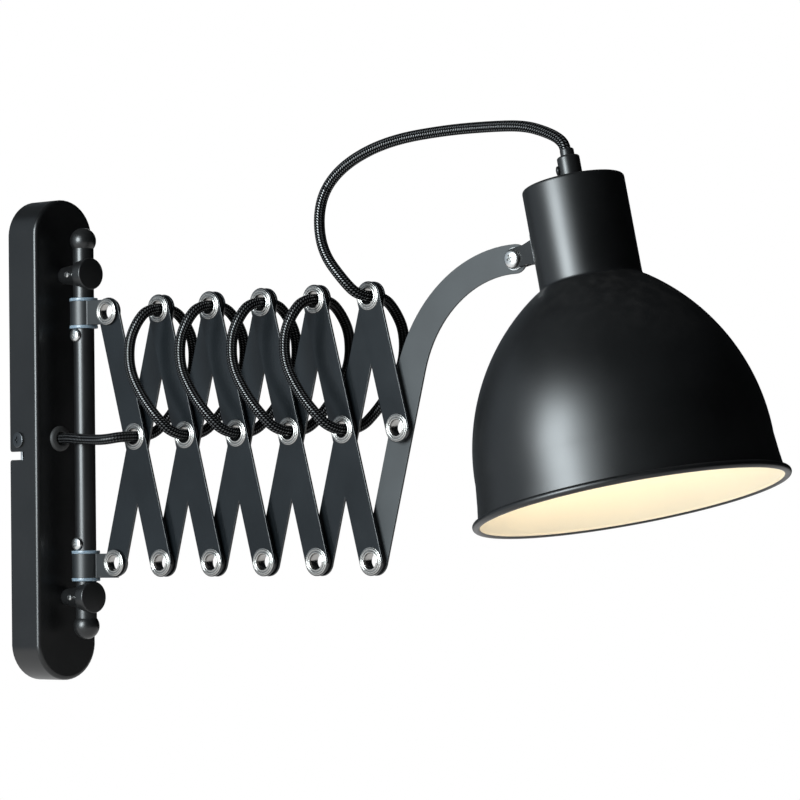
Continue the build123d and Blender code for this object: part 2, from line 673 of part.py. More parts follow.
with BuildPart() as shade:
    with BuildSketch(profile_plane):
        with BuildLine():
            Line((0, 0), (NECK_R - NECK_EDGE_R, 0))
            ThreePointArc(
                (NECK_R - NECK_EDGE_R, 0),
                (NECK_R - NECK_EDGE_R * (1 - sin(pi / 4)), NECK_EDGE_R * (1 - cos(pi / 4))),
                (NECK_R, NECK_EDGE_R),
            )
            Line((NECK_R, NECK_EDGE_R), (NECK_R, NECK_H))
            Line((NECK_R, NECK_H), (dome_r(NECK_H + 0.6, 0), NECK_H + 0.6))
            ThreePointArc(
                (dome_r(NECK_H + 0.6, 0), NECK_H + 0.6),
                (dome_r(DOME_MID_H, 0), DOME_MID_H),
                (DOME_R, DOME_ARC_H),
            )
            Line((DOME_R, DOME_ARC_H), (RIM_R, RIM_H))
            Line((RIM_R, RIM_H), (RIM_R - SHADE_T, RIM_H))
            Line((RIM_R - SHADE_T, RIM_H), (DOME_R - SHADE_T, DOME_ARC_H))
            ThreePointArc(
                (DOME_R - SHADE_T, DOME_ARC_H),
                (dome_r(DOME_MID_H, SHADE_T), DOME_MID_H),
                (dome_r(NECK_H + 1.8, SHADE_T), NECK_H + 1.8),
            )
            Polyline(
                (dome_r(NECK_H + 1.8, SHADE_T), NECK_H + 1.8),
                (NECK_R - SHADE_T, NECK_H + 1.2),
                (NECK_R - SHADE_T, SHADE_T),
                (0, SHADE_T),
                (0, 0),
            )
        make_face()
    revolve(axis=shade_axis, revolution_arc=360)
    with BuildSketch(profile_plane):
        with Locations((RIM_R + BEAD_OUT, RIM_H)):
            Circle(BEAD_R)
    revolve(axis=shade_axis, revolution_arc=360)
    with BuildSketch(Plane(origin=neck_top - axis_dir * 5, z_dir=axis_dir)):
        Circle(NIPPLE_R)
    extrude(amount=10, mode=Mode.SUBTRACT)
save(shade, "shade")

# lampholder hung on a threaded nipple through the neck top
holder_seat = Plane(origin=neck_top + axis_dir * SHADE_T, z_dir=axis_dir)
with BuildPart() as lampholder:
    with BuildSketch(holder_seat):
        Circle(9.0)
    extrude(amount=5.0)
    with BuildSketch(holder_seat.offset(5.0)):
        Circle(HOLDER_R)
    extrude(amount=HOLDER_L - 5.0)
    fillet(lampholder.edges().filter_by(GeomType.CIRCLE).group_by(SortBy.RADIUS)[-1], 1.5)
    with BuildSketch(holder_seat.offset(HOLDER_L)):
        Circle(HOLDER_BORE_R)
    extrude(amount=-HOLDER_BORE_L, mode=Mode.SUBTRACT)
    with BuildSketch(holder_seat):
        Circle(NIPPLE_R)
    extrude(amount=-(SHADE_T + 7.0))
    with BuildSketch(holder_seat.offset(-20)):
        Circle(CORD_R)
    extrude(amount=22, mode=Mode.SUBTRACT)
save(lampholder, "lampholder")

grip_seat = Plane(origin=neck_top, z_dir=axis_dir * -1)
screw_dir = (away_dir * -0.77 + arm.z_dir * 0.64).normalized()
screw_at = neck_top - axis_dir * (GRIP_H * 0.52)
with BuildPart() as cord_grip:
    with BuildSketch(grip_seat):
        Circle(GRIP_R)
    extrude(amount=GRIP_H)
    chamfer(cord_grip.faces().sort_by(shade_axis)[0].edges(), 0.7)
    with BuildSketch(grip_seat.offset(GRIP_H)):
        Circle(GRIP_COLLAR_R)
    extrude(amount=GRIP_COLLAR_H)
    with BuildSketch(grip_seat):
        Circle(NIPPLE_R)
    extrude(amount=7.0, mode=Mode.SUBTRACT)
    with BuildSketch(grip_seat):
        Circle(CORD_R)
    extrude(amount=GRIP_H + GRIP_COLLAR_H, mode=Mode.SUBTRACT)
    with BuildSketch(Plane(origin=screw_at + screw_dir * NIPPLE_R, z_dir=screw_dir)):
        Circle(1.5)
    extrude(amount=GRIP_R, mode=Mode.SUBTRACT)
save(cord_grip, "cord_grip")

with BuildPart() as cord_grip_screw:
    with BuildSketch(Plane(origin=screw_at + screw_dir * NIPPLE_R, z_dir=screw_dir)):
        Circle(1.5)
    extrude(amount=GRIP_R - NIPPLE_R)
    with BuildSketch(Plane(origin=screw_at + screw_dir * GRIP_R, z_dir=screw_dir)):
        Circle(GRIP_SCREW_R)
    extrude(amount=GRIP_SCREW_OUT, taper=25)
save(cord_grip_screw, "cord_grip_screw")

# ================================================================ knuckle
washer_near = FAR_N + PLATE_T + PLAY / 2
washer_far = FAR_N - PLAY / 2 - KNUCKLE_WASHER_T
tab_near = washer_near + KNUCKLE_WASHER_T
tab_far = washer_far - PLATE_T
knuckle = (knuckle_s, KNUCKLE_Z)


def shade_local(u, h):
    """Arm coordinates of a point u from the shade axis toward the arm and h below the neck top."""
    return (neck_s - u * cos(tilt) + h * ax_s, neck_z - u * sin(tilt) + h * ax_z)


base_u = NECK_R + CLEVIS_BASE_T / 2
with BuildPart() as shade_bracket:
    for n0 in (tab_near, tab_far):
        with BuildSketch(arm.offset(n0)):
            top_c = shade_local(base_u, SHADE_UP - CLEVIS_BASE_H / 2)
            low_c = shade_local(base_u, SHADE_UP + CLEVIS_BASE_H / 2)
            top_w = shade_local(SHADE_OFF - 9, SHADE_UP - CLEVIS_END_R)
            low_w = shade_local(SHADE_OFF - 9, SHADE_UP + CLEVIS_END_R)
            top_k = shade_local(SHADE_OFF, SHADE_UP - CLEVIS_END_R)
            low_k = shade_local(SHADE_OFF, SHADE_UP + CLEVIS_END_R)
            with BuildLine():
                Polyline(top_k, top_w, top_c, low_c, low_w, low_k, close=True)
            make_face()
            with Locations(knuckle):
                Circle(CLEVIS_END_R)
                Circle(KNUCKLE_SHANK_R, mode=Mode.SUBTRACT)
        extrude(amount=PLATE_T)
    # saddle that lies on the neck
    with BuildSketch(Plane(origin=neck_top, x_dir=away_dir * -1, z_dir=axis_dir).offset(
        SHADE_UP - CLEVIS_BASE_H / 2
    )):
        with BuildLine():
            outer = CenterArc(
                (0, 0), NECK_R + CLEVIS_BASE_T, -CLEVIS_HALF_ANGLE, 2 * CLEVIS_HALF_ANGLE
            )
            inner = CenterArc((0, 0), NECK_R, -CLEVIS_HALF_ANGLE, 2 * CLEVIS_HALF_ANGLE)
            Line(outer @ 0, inner @ 0)
            Line(outer @ 1, inner @ 1)
        make_face()
    extrude(amount=CLEVIS_BASE_H)
    with BuildSketch(Plane(origin=neck_top, z_dir=axis_dir)):
        Circle(NECK_R)
    extrude(amount=NECK_H, mode=Mode.SUBTRACT)
save(shade_bracket, "shade_bracket")

with BuildPart() as knuckle_washers:
    for n0 in (washer_near, washer_far):
        with BuildSketch(arm.offset(n0)):
            with Locations(knuckle):
                Circle(KNUCKLE_WASHER_R)
                Circle(KNUCKLE_SHANK_R, mode=Mode.SUBTRACT)
        extrude(amount=KNUCKLE_WASHER_T)
save(knuckle_washers, "knuckle_washers")

head_n = tab_near + PLATE_T
with BuildPart() as knuckle_screw:
    with BuildSketch(arm.offset(head_n)):
        with Locations(knuckle):
            Circle(KNUCKLE_HEAD_R)
    extrude(amount=1.2)
    with BuildSketch(arm.offset(head_n + 1.2)):
        with Locations(knuckle):
            Circle(KNUCKLE_HEAD_R)
    extrude(amount=KNUCKLE_HEAD_T - 1.2, taper=38)
    with BuildSketch(arm.offset(tab_far - KNUCKLE_NUT_T - 0.6)):
        with Locations(knuckle):
            Circle(KNUCKLE_SHANK_R)
    extrude(amount=head_n - tab_far + KNUCKLE_NUT_T + 0.6)
    with BuildSketch(arm.offset(head_n + KNUCKLE_HEAD_T)):
        with Locations(knuckle):
            Rectangle(5.4, 1.1, rotation=20)
            Rectangle(1.1, 5.4, rotation=20)
    extrude(amount=-1.7, mode=Mode.SUBTRACT)
save(knuckle_screw, "knuckle_screw")

with BuildPart() as knuckle_nut:
    with BuildSketch(arm.offset(tab_far - KNUCKLE_NUT_T)):
        with Locations(knuckle):
            RegularPolygon(KNUCKLE_NUT_AF / 2, 6, major_radius=False)
            Circle(KNUCKLE_SHANK_R, mode=Mode.SUBTRACT)
    extrude(amount=KNUCKLE_NUT_T)
save(knuckle_nut, "knuckle_nut")

# ================================================================ cord
# One cord: wall cover, mid 1, then loops far and near through the eyelets to the cord grip.
# Route of one loop from a top eyelet to the middle eyelet below it: out, up, near.
LOOP = (
    (0.15, 0.0, -1.3),
    (-1.15, 0.0, 10.0),
    (-4.6, -8.2, 16.6),
    (-9.4, -20.5, 18.8),
    (-8.8, -38.0, 19.2),
    (0.6, -54.0, 18.8),
    (11.8, -67.0, 17.6),
)
mid_in = (PITCH / 2 - 2.0, -HALF_H, 10.6)
mid_end = (PITCH / 2 + 0.25, -HALF_H, -1.3)
loop_points = LOOP + (mid_in, mid_end)
mid_plane = Plane(origin=arm.origin, x_dir=arm.x_dir, z_dir=arm.z_dir)
print("theta", round(theta, 3), "rows", round(TOP_Z, 3), round(LOW_Z, 3))
print("loop radii", [round(r, 1) for r in radii_for(loop_points)])

for i in range(2, LAST):
    pts = [at_arm(top_s(i) + a, TOP_Z + b, c) for a, b, c in loop_points]
    tube, radii, length = cord_tube([tuple(p) for p in pts], ((mid_plane, Keep.TOP),))
    save(tube, f"cord_near_{i}")
    if i == 2:
        print("near loop length", round(length - 2.6, 2), "volume", round(tube.part.volume, 1))
for i in range(1, LAST):
    pts = [at_arm(top_s(i + 1) - a, TOP_Z + b, -c) for a, b, c in loop_points]
    tube, radii, length = cord_tube([tuple(p) for p in pts], ((mid_plane, Keep.BOTTOM),))
    save(tube, f"cord_far_{i}")

# lead from the terminal block through the grommet, past the rod, into the first middle eyelet
lead_points = [
    (GROMMET_X, -12.0, BLOCK_Z - BLOCK_H / 2),
    (GROMMET_X, -12.0, GROMMET_Z),
    (GROMMET_X, -COVER_D - GROMMET_OUT - 3.4, GROMMET_Z),
] + [
    tuple(at_arm(s, z, n))
    for s, z, n in (
        (-3.1, 0.4, 10.6),
        (8.5, -0.4, 13.9),
        (20.0, -1.2, 15.8),
        (33.0, -1.6, 16.8),
        (mid_s(1) - 2.0, MID_Z, 10.6),
        (mid_s(1) + 0.25, MID_Z, -1.3),
    )
]
with BuildPart() as cord_lead:
    with BuildLine() as route:
        lead_radii = radii_for(lead_points)
        FilletPolyline(*lead_points, radius=lead_radii)
    line = route.wires()[0]
    with BuildSketch(Plane(origin=line @ 0, z_dir=line % 0)):
        Circle(CORD_R)
    sweep(path=line)
    with BuildSketch(mid_plane):
        with Locations((mid_s(1), MID_Z)):
            Circle(2 * CORD_R)
    extrude(amount=-4.0, mode=Mode.SUBTRACT)
save(cord_lead, "cord_lead")
print("lead radii", [round(r, 1) for r in lead_radii], "length", round(line.length, 1),
      "volume", round(cord_lead.part.volume, 1), "of", round(pi * CORD_R**2 * line.length, 1))

# free loop from the last top eyelet over to the cord grip
grip_top = GRIP_H + GRIP_COLLAR_H
free_points = [
    tuple(at_arm(top_s(LAST) + 0.15, TOP_Z, -1.3)),
    tuple(at_arm(top_s(LAST) - 1.15, TOP_Z, 10.0)),
] + [
    tuple(at_arm(s, z, n))
    for s, z, n in (
        (229.0, 87.0, 16.0),
        (215.5, 104.0, 18.5),
        (211.5, 125.0, 18.0),
        (216.5, 143.0, 16.5),
        (233.5, 158.0, 14.5),
        (262.0, 169.0, 11.0),
        (300.0, 173.8, 5.5),
        (338.0, 173.0, 0.5),
        (357.0, 170.6, -1.6),
        (366.0, 167.2, -2.2),
    )
] + [
    tuple(at_arm(neck_s - LOOP_DROP_IN, neck_z + LOOP_DROP_UP, ARM_N)),
    tuple(neck_top - axis_dir * (grip_top + LOOP_GRIP_RUN)),
    tuple(neck_top - axis_dir * 0.0),
]
# the grip end lies on the far side of the middle plane, so only the eyelet end is trimmed
with BuildPart() as cord_loop:
    with BuildLine() as route:
        free_radii = radii_for(free_points)
        FilletPolyline(*free_points, radius=free_radii)
    line = route.wires()[0]
    with BuildSketch(Plane(origin=line @ 0, z_dir=line % 0)):
        Circle(CORD_R)
    sweep(path=line)
    with BuildSketch(mid_plane):
        with Locations((top_s(LAST), TOP_Z)):
            Circle(2 * CORD_R)
    extrude(amount=-4.0, mode=Mode.SUBTRACT)
save(cord_loop, "cord_loop")
print("free loop radii", [round(r, 1) for r in free_radii], "length", round(line.length, 1),
      "volume", round(cord_loop.part.volume, 1), "of", round(pi * CORD_R**2 * line.length, 1))
print("neck top", [round(v, 2) for v in neck_top], "axis", [round(v, 4) for v in axis_dir])
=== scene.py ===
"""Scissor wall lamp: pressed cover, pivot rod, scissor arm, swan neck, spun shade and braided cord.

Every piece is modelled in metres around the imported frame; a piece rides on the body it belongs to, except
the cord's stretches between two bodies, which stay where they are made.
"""

import json
import logging
import math
from dataclasses import dataclass, field
from enum import Enum

import bmesh
import bpy
import numpy as np
from mathutils import Matrix, Vector
from mathutils.geometry import interpolate_bezier

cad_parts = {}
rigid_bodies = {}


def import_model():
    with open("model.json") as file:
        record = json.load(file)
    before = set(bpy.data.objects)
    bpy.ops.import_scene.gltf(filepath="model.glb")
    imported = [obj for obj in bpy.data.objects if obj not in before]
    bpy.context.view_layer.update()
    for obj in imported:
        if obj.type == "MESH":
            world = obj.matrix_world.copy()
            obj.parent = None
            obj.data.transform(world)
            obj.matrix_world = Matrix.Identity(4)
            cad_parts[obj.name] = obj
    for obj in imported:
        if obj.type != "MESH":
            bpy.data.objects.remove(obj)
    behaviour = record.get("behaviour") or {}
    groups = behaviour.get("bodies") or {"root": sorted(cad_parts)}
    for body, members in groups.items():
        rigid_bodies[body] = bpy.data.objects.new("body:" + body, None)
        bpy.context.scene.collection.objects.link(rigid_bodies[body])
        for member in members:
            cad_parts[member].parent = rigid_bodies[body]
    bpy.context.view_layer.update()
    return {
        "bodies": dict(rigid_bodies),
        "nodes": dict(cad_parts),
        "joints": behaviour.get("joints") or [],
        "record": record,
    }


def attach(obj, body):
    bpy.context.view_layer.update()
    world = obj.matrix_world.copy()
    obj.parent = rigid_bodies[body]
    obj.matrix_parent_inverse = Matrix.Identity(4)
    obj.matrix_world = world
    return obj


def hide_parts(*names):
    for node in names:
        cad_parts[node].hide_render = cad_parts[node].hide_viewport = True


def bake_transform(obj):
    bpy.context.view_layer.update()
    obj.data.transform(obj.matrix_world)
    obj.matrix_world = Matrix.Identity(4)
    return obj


MM = 0.001
WELD, LOOSE_WELD = 1e-6, 2e-6
LOG = logging.getLogger("wall_lamp")

Colour = tuple[float, float, float]
Point = tuple[float, float, float]
Profile = list[tuple[float, float]]
Route = list[Vector]
Shape = bmesh.types.BMesh
Socket = bpy.types.NodeSocket


class Row(Enum):
    """Rows of pivots of the scissor arm."""

    TOP = "top"
    MIDDLE = "middle"
    LOW = "low"


class Layer(Enum):
    """The two layers of scissor bars."""

    NEAR = "near"
    FAR = "far"


# ---------------------------------------------------------------------------- layout
@dataclass(frozen=True)
class ArmLayout:
    """Places along the scissor arm in millimetres: s runs out from the rod, z up, n to the near face."""

    swing_deg: float = 5.66
    rod_y: float = -45.0
    first: float = 24.0
    pitch: float = 42.5
    bar_length: float = 161.0
    bar_width: float = 17.5
    plate: float = 1.5
    layer_gap: float = 3.0
    play: float = 0.1
    middle_z: float = 0.4
    cells: int = 5

    @property
    def lean(self) -> float:
        """Angle of a bar from upright, in radians."""
        return math.asin(self.pitch / self.bar_length)

    @property
    def half_height(self) -> float:
        """Height from the middle row to the top row."""
        return self.bar_length * math.cos(self.lean) / 2

    @property
    def near_n(self) -> float:
        """Inner face of the near bars."""
        return self.layer_gap / 2

    @property
    def far_n(self) -> float:
        """Outer face of the far bars."""
        return -self.layer_gap / 2 - self.plate

    def pivot(self, row: Row, i: int) -> tuple[float, float]:
        """Place of a pivot.

        Args:
            row: The row of pivots.
            i: The pivot's number, from 1 at the wall.

        Returns:
            Its distance out from the rod and its height.
        """
        if row is Row.MIDDLE:
            return self.first + (i - 0.5) * self.pitch, self.middle_z
        side = 1 if row is Row.TOP else -1
        return self.first + (i - 1) * self.pitch, self.middle_z + side * self.half_height

    def frame(self, s: float = 0.0, z: float = 0.0, n: float = 0.0) -> Matrix:
        """Matrix of a place on the arm.

        Args:
            s: Distance out from the rod axis.
            z: Height.
            n: Distance to the near side.

        Returns:
            The matrix from local axes (out, up, near), in metres, to the row frame.
        """
        phi = math.radians(self.swing_deg)
        out = Vector((math.sin(phi), -math.cos(phi), 0))
        near = Vector((-math.cos(phi), -math.sin(phi), 0))
        place = (out * s + near * n + Vector((0, self.rod_y, z))) * MM
        turn = Matrix((out, Vector((0, 0, 1)), near)).transposed().to_4x4()
        return Matrix.Translation(place) @ turn

    def point(self, s: float, z: float, n: float) -> Vector:
        """Row-frame point, in metres, of a place on the arm."""
        return self.frame(s, z, n).translation


@dataclass(frozen=True)
class ShadeLayout:
    """Where the shade hangs from the knuckle at the end of the swan arm."""

    arm: ArmLayout = ArmLayout()
    knuckle_s: float = 344.4
    knuckle_z: float = 94.6
    tilt_deg: float = 12.26
    offset: float = 49.75
    above: float = 31.0

    @property
    def plane_n(self) -> float:
        """Middle of the swan arm's plate."""
        return self.arm.far_n + self.arm.plate / 2

    @property
    def neck_top(self) -> tuple[float, float]:
        """Top of the neck.

        Returns:
            Its distance out and up along the arm, in millimetres.
        """
        t = math.radians(self.tilt_deg)
        s = self.knuckle_s + self.offset * math.cos(t) - self.above * math.sin(t)
        z = self.knuckle_z + self.offset * math.sin(t) + self.above * math.cos(t)
        return s, z

    def frame(self, height: float = 0.0) -> Matrix:
        """Matrix of the shade: z runs along its axis to the mouth, x away from the arm.

        Args:
            height: Distance from the neck top toward the mouth, in millimetres.

        Returns:
            The matrix from the shade's own axes, in metres, to the row frame.
        """
        t = math.radians(self.tilt_deg)
        base = self.arm.frame(*self.neck_top, self.plane_n)
        away = Vector((math.cos(t), math.sin(t), 0))
        down = Vector((math.sin(t), -math.cos(t), 0))
        turn = Matrix((away, down.cross(away), down)).transposed().to_4x4()
        return base @ turn @ Matrix.Translation((0, 0, height * MM))


ARM = ArmLayout()
SHADE = ShadeLayout()


def facing(origin: Point, axis: Vector) -> Matrix:
    """Matrix that turns local z along an axis.

    Args:
        origin: Place of the local origin, in millimetres.
        axis: Direction of local z in the row frame.

    Returns:
        The placing matrix.
    """
    turn = axis.to_track_quat("Z", "Y").to_matrix().to_4x4()
    return Matrix.Translation(Vector(origin) * MM) @ turn


# ---------------------------------------------------------------------------- node trees
class Graph:
    """A node tree with short typed calls to add and join nodes."""

    def __init__(self, tree: bpy.types.NodeTree) -> None:
        """Starts on an empty tree."""
        self.tree = tree
        tree.nodes.clear()

    def add(self, kind: str, **settings: object) -> bpy.types.Node:
        """Adds a node.

        Args:
            kind: Blender's node type.
            **settings: Node properties to set.

        Returns:
            The new node.
        """
        node = self.tree.nodes.new(kind)
        for name, value in settings.items():
            setattr(node, name, value)
        return node

    def put(self, node: bpy.types.Node, name: str | int, value: object) -> None:
        """Fills an input of a node.

        Args:
            node: The node.
            name: The input's name or number.
            value: A number or colour, or the socket that is linked to the input.
        """
        socket = node.inputs[name]
        if isinstance(value, Socket):
            self.tree.links.new(value, socket)
        else:
            socket.default_value = value

    def math(self, operation: str, *values: object) -> Socket:
        """Adds a math node.

        Args:
            operation: What it works out.
            *values: Up to three numbers or sockets.

        Returns:
            Its output.
        """
        node = self.add("ShaderNodeMath", operation=operation)
        for k, value in enumerate(values):
            self.put(node, k, value)
        return node.outputs[0]

    def noise(self, vector: Socket, scale: object, detail: float) -> Socket:
        """Adds a noise texture.

        Args:
            vector: Where it is read.
            scale: Its scale, a number or a socket.
            detail: Its number of finer layers.

        Returns:
            Its value output.
        """
        node = self.add("ShaderNodeTexNoise")
        for name, value in (("Vector", vector), ("Scale", scale), ("Detail", detail)):
            self.put(node, name, value)
        return node.outputs["Fac"]

    def ramp(self, value: Socket, low: float, high: float, start: float, end: float) -> Socket:
        """Adds a clamped map range.

        Args:
            value: The socket that is mapped.
            low: Its value that gives start.
            high: Its value that gives end.
            start: The result at low.
            end: The result at high.

        Returns:
            The mapped value.
        """
        node = self.add("ShaderNodeMapRange", clamp=True)
        for name, number in (("From Min", low), ("From Max", high), ("To Min", start), ("To Max", end)):
            self.put(node, name, number)
        self.put(node, "Value", value)
        return node.outputs["Result"]

    def mix(self, share: object, first: object, second: object) -> Socket:
        """Adds a colour mix.

        Args:
            share: How much of the second colour shows.
            first: The first colour.
            second: The second colour.

        Returns:
            The mixed colour.
        """
        node = self.add("ShaderNodeMix", data_type="RGBA")
        for number, value in ((0, share), (6, first), (7, second)):
            self.put(node, number, value)
        return node.outputs[2]

    def bump(self, height: Socket, distance: float) -> Socket:
        """Adds a bump node of full strength.

        Args:
            height: The relief, from 0 to 1.
            distance: Its full height, in metres.

        Returns:
            The bumped normal.
        """
        node = self.add("ShaderNodeBump")
        for name, value in (("Height", height), ("Distance", distance), ("Strength", 1.0)):
            self.put(node, name, value)
        return node.outputs["Normal"]


def new_material(name: str) -> tuple[bpy.types.Material, Graph]:
    """Makes a material.

    Args:
        name: Its name.

    Returns:
        The material and the graph of its empty node tree.
    """
    material = bpy.data.materials.new(name)
    material.use_nodes = True
    return material, Graph(material.node_tree)


def new_group(
    name: str, inputs: dict[str, tuple[str, float]], outputs: list[str]
) -> tuple[Graph, bpy.types.Node, bpy.types.Node]:
    """Makes an empty shader node group.

    Args:
        name: The group's name.
        inputs: Each input's socket type and default value.
        outputs: The names of the value outputs.

    Returns:
        The group's graph, its input node and its output node.
    """
    tree = bpy.data.node_groups.new(name, "ShaderNodeTree")
    for label, (kind, default) in inputs.items():
        socket = tree.interface.new_socket(label, in_out="INPUT", socket_type=kind)
        if kind == "NodeSocketFloat":
            socket.default_value = default
    for label in outputs:
        tree.interface.new_socket(label, in_out="OUTPUT", socket_type="NodeSocketFloat")
    graph = Graph(tree)
    return graph, graph.add("NodeGroupInput"), graph.add("NodeGroupOutput")


class SurfaceGroups:
    """Shared effects: the skin of paint and plastic, turned metal, the cord's braid and settled dust."""

    def __init__(self) -> None:
        """Builds every group once."""
        self.paint = self.paint_skin()
        self.turned = self.turned_metal()
        self.braid = self.braid_weave()
        self.dust = self.settled_dust()

    @staticmethod
    def paint_skin() -> bpy.types.NodeTree:
        """Builds the fine peel and slow drift of sprayed paint.

        Returns:
            The group's node tree.
        """
        graph, start, end = new_group(
            "paint_skin",
            {
                "Vector": ("NodeSocketVector", 0.0),
                "Peel Scale": ("NodeSocketFloat", 900.0),
                "Drift Scale": ("NodeSocketFloat", 22.0),
            },
            ["Height", "Drift", "Fleck"],
        )
        place = start.outputs["Vector"]
        peel = graph.noise(place, start.outputs["Peel Scale"], 2.0)
        fine = graph.noise(place, graph.math("MULTIPLY", start.outputs["Peel Scale"], 3.3), 1.0)
        coarse, subtle = graph.math("MULTIPLY", peel, 0.8), graph.math("MULTIPLY", fine, 0.2)
        graph.put(end, "Height", graph.math("ADD", coarse, subtle))
        drift = graph.noise(place, start.outputs["Drift Scale"], 3.0)
        graph.put(end, "Drift", graph.ramp(drift, 0.3, 0.7, 0.0, 1.0))
        graph.put(end, "Fleck", graph.ramp(fine, 0.66, 0.74, 0.0, 1.0))
        return graph.tree

    @staticmethod
    def turned_metal() -> bpy.types.NodeTree:
        """Builds fine rings on spun metal, read from a map of radius and height.

        Returns:
            The group's node tree.
        """
        graph, start, end = new_group(
            "turned_metal",
            {
                "Vector": ("NodeSocketVector", 0.0),
                "Place": ("NodeSocketVector", 0.0),
                "Ring Scale": ("NodeSocketFloat", 6000.0),
            },
            ["Height", "Rings", "Smudge"],
        )
        rings = graph.noise(start.outputs["Vector"], start.outputs["Ring Scale"], 2.0)
        smudge = graph.noise(start.outputs["Place"], 260.0, 3.0)
        graph.put(end, "Height", rings)
        graph.put(end, "Rings", graph.ramp(rings, 0.3, 0.7, 0.0, 1.0))
        graph.put(end, "Smudge", graph.ramp(smudge, 0.35, 0.7, 0.0, 1.0))
        return graph.tree

    @staticmethod
    def braid_weave() -> bpy.types.NodeTree:
        """Builds a plain braid, read from metres along and turns round the cord.

        Returns:
            The group's node tree.
        """
        graph, start, end = new_group(
            "braid_weave",
            {
                "Vector": ("NodeSocketVector", 0.0),
                "Yarns": ("NodeSocketFloat", 12.0),
                "Lay": ("NodeSocketFloat", 0.02),
            },
            ["Height", "Crest"],
        )
        split = graph.add("ShaderNodeSeparateXYZ")
        graph.put(split, 0, start.outputs["Vector"])
        along = graph.math("DIVIDE", split.outputs[0], start.outputs["Lay"])
        right = graph.math("MULTIPLY", graph.math("ADD", split.outputs[1], along), start.outputs["Yarns"])
        left = graph.math("MULTIPLY", graph.math("SUBTRACT", split.outputs[1], along), start.outputs["Yarns"])
        crests = []
        for phase in (right, left):
            swing = graph.math("SINE", graph.math("MULTIPLY", graph.math("FRACT", phase), math.pi))
            crests.append(graph.math("POWER", swing, 0.7))
        cell = graph.math("ADD", graph.math("FLOOR", right), graph.math("FLOOR", left))
        over = graph.math("LESS_THAN", graph.math("FLOORED_MODULO", cell, 2.0), 0.5)
        top = graph.math("MULTIPLY", crests[0], over)
        under = graph.math("MULTIPLY", crests[1], graph.math("SUBTRACT", 1.0, over))
        crest = graph.math("ADD", top, under)
        fray = graph.noise(start.outputs["Vector"], 1400.0, 2.0)
        graph.put(end, "Height", graph.math("ADD", crest, graph.math("MULTIPLY", fray, 0.25)))
        # Crest keeps only the raised yarns of one lay; the material paints a highlight on them and gives them
        # a coat
        graph.put(end, "Crest", top)
        return graph.tree

    @staticmethod
    def settled_dust() -> bpy.types.NodeTree:
        """Builds a soft mask of dust on surfaces that face up.

        Returns:
            The group's node tree.
        """
        graph, start, end = new_group(
            "settled_dust",
            {"Vector": ("NodeSocketVector", 0.0), "Normal": ("NodeSocketVector", 0.0)},
            ["Mask"],
        )
        split = graph.add("ShaderNodeSeparateXYZ")
        graph.put(split, 0, start.outputs["Normal"])
        level = graph.ramp(split.outputs[2], 0.55, 1.0, 0.0, 1.0)
        patch = graph.ramp(graph.noise(start.outputs["Vector"], 140.0, 5.0), 0.42, 0.7, 0.2, 1.0)
        graph.put(end, "Mask", graph.math("MULTIPLY", level, patch))
        return graph.tree


# ---------------------------------------------------------------------------- finishes
def opaque(colour: Colour, factor: float = 1.0) -> tuple[float, ...]:
    """Returns a colour times a factor, with full alpha."""
    return tuple(c * factor for c in colour) + (1.0,)


@dataclass(frozen=True)
class Finish:
    """A named finish of the lamp, with the material slot of the record that it belongs to."""

    name: str
    slot: str

    def build(self, groups: SurfaceGroups) -> bpy.types.Material:
        """Makes the material.

        Args:
            groups: The shared node groups.

        Returns:
            The finished material.
        """
        material, graph = new_material(self.name)
        shader = graph.add("ShaderNodeBsdfPrincipled")
        output = graph.add("ShaderNodeOutputMaterial")
        graph.put(output, "Surface", shader.outputs[0])
        self.dress(graph, shader, groups)
        return material

    def dress(self, graph: Graph, shader: bpy.types.Node, groups: SurfaceGroups) -> None:
        """Fills the shader's sockets; each kind of finish has its own way."""
        raise NotImplementedError

    @staticmethod
    def object_place(graph: Graph) -> Socket:
        """Adds object coordinates and returns them."""
        return graph.add("ShaderNodeTexCoord").outputs["Object"]

    @staticmethod
    def grouped(graph: Graph, tree: bpy.types.NodeTree, **values: object) -> bpy.types.Node:
        """Places a shared group in a material.

        Args:
            graph: The material's graph.
            tree: The group.
            **values: Values or sockets of its inputs, with underscores for spaces.

        Returns:
            The group's node.
        """
        node = graph.add("ShaderNodeGroup", node_tree=tree)
        for name, value in values.items():
            graph.put(node, name.replace("_", " "), value)
        return node


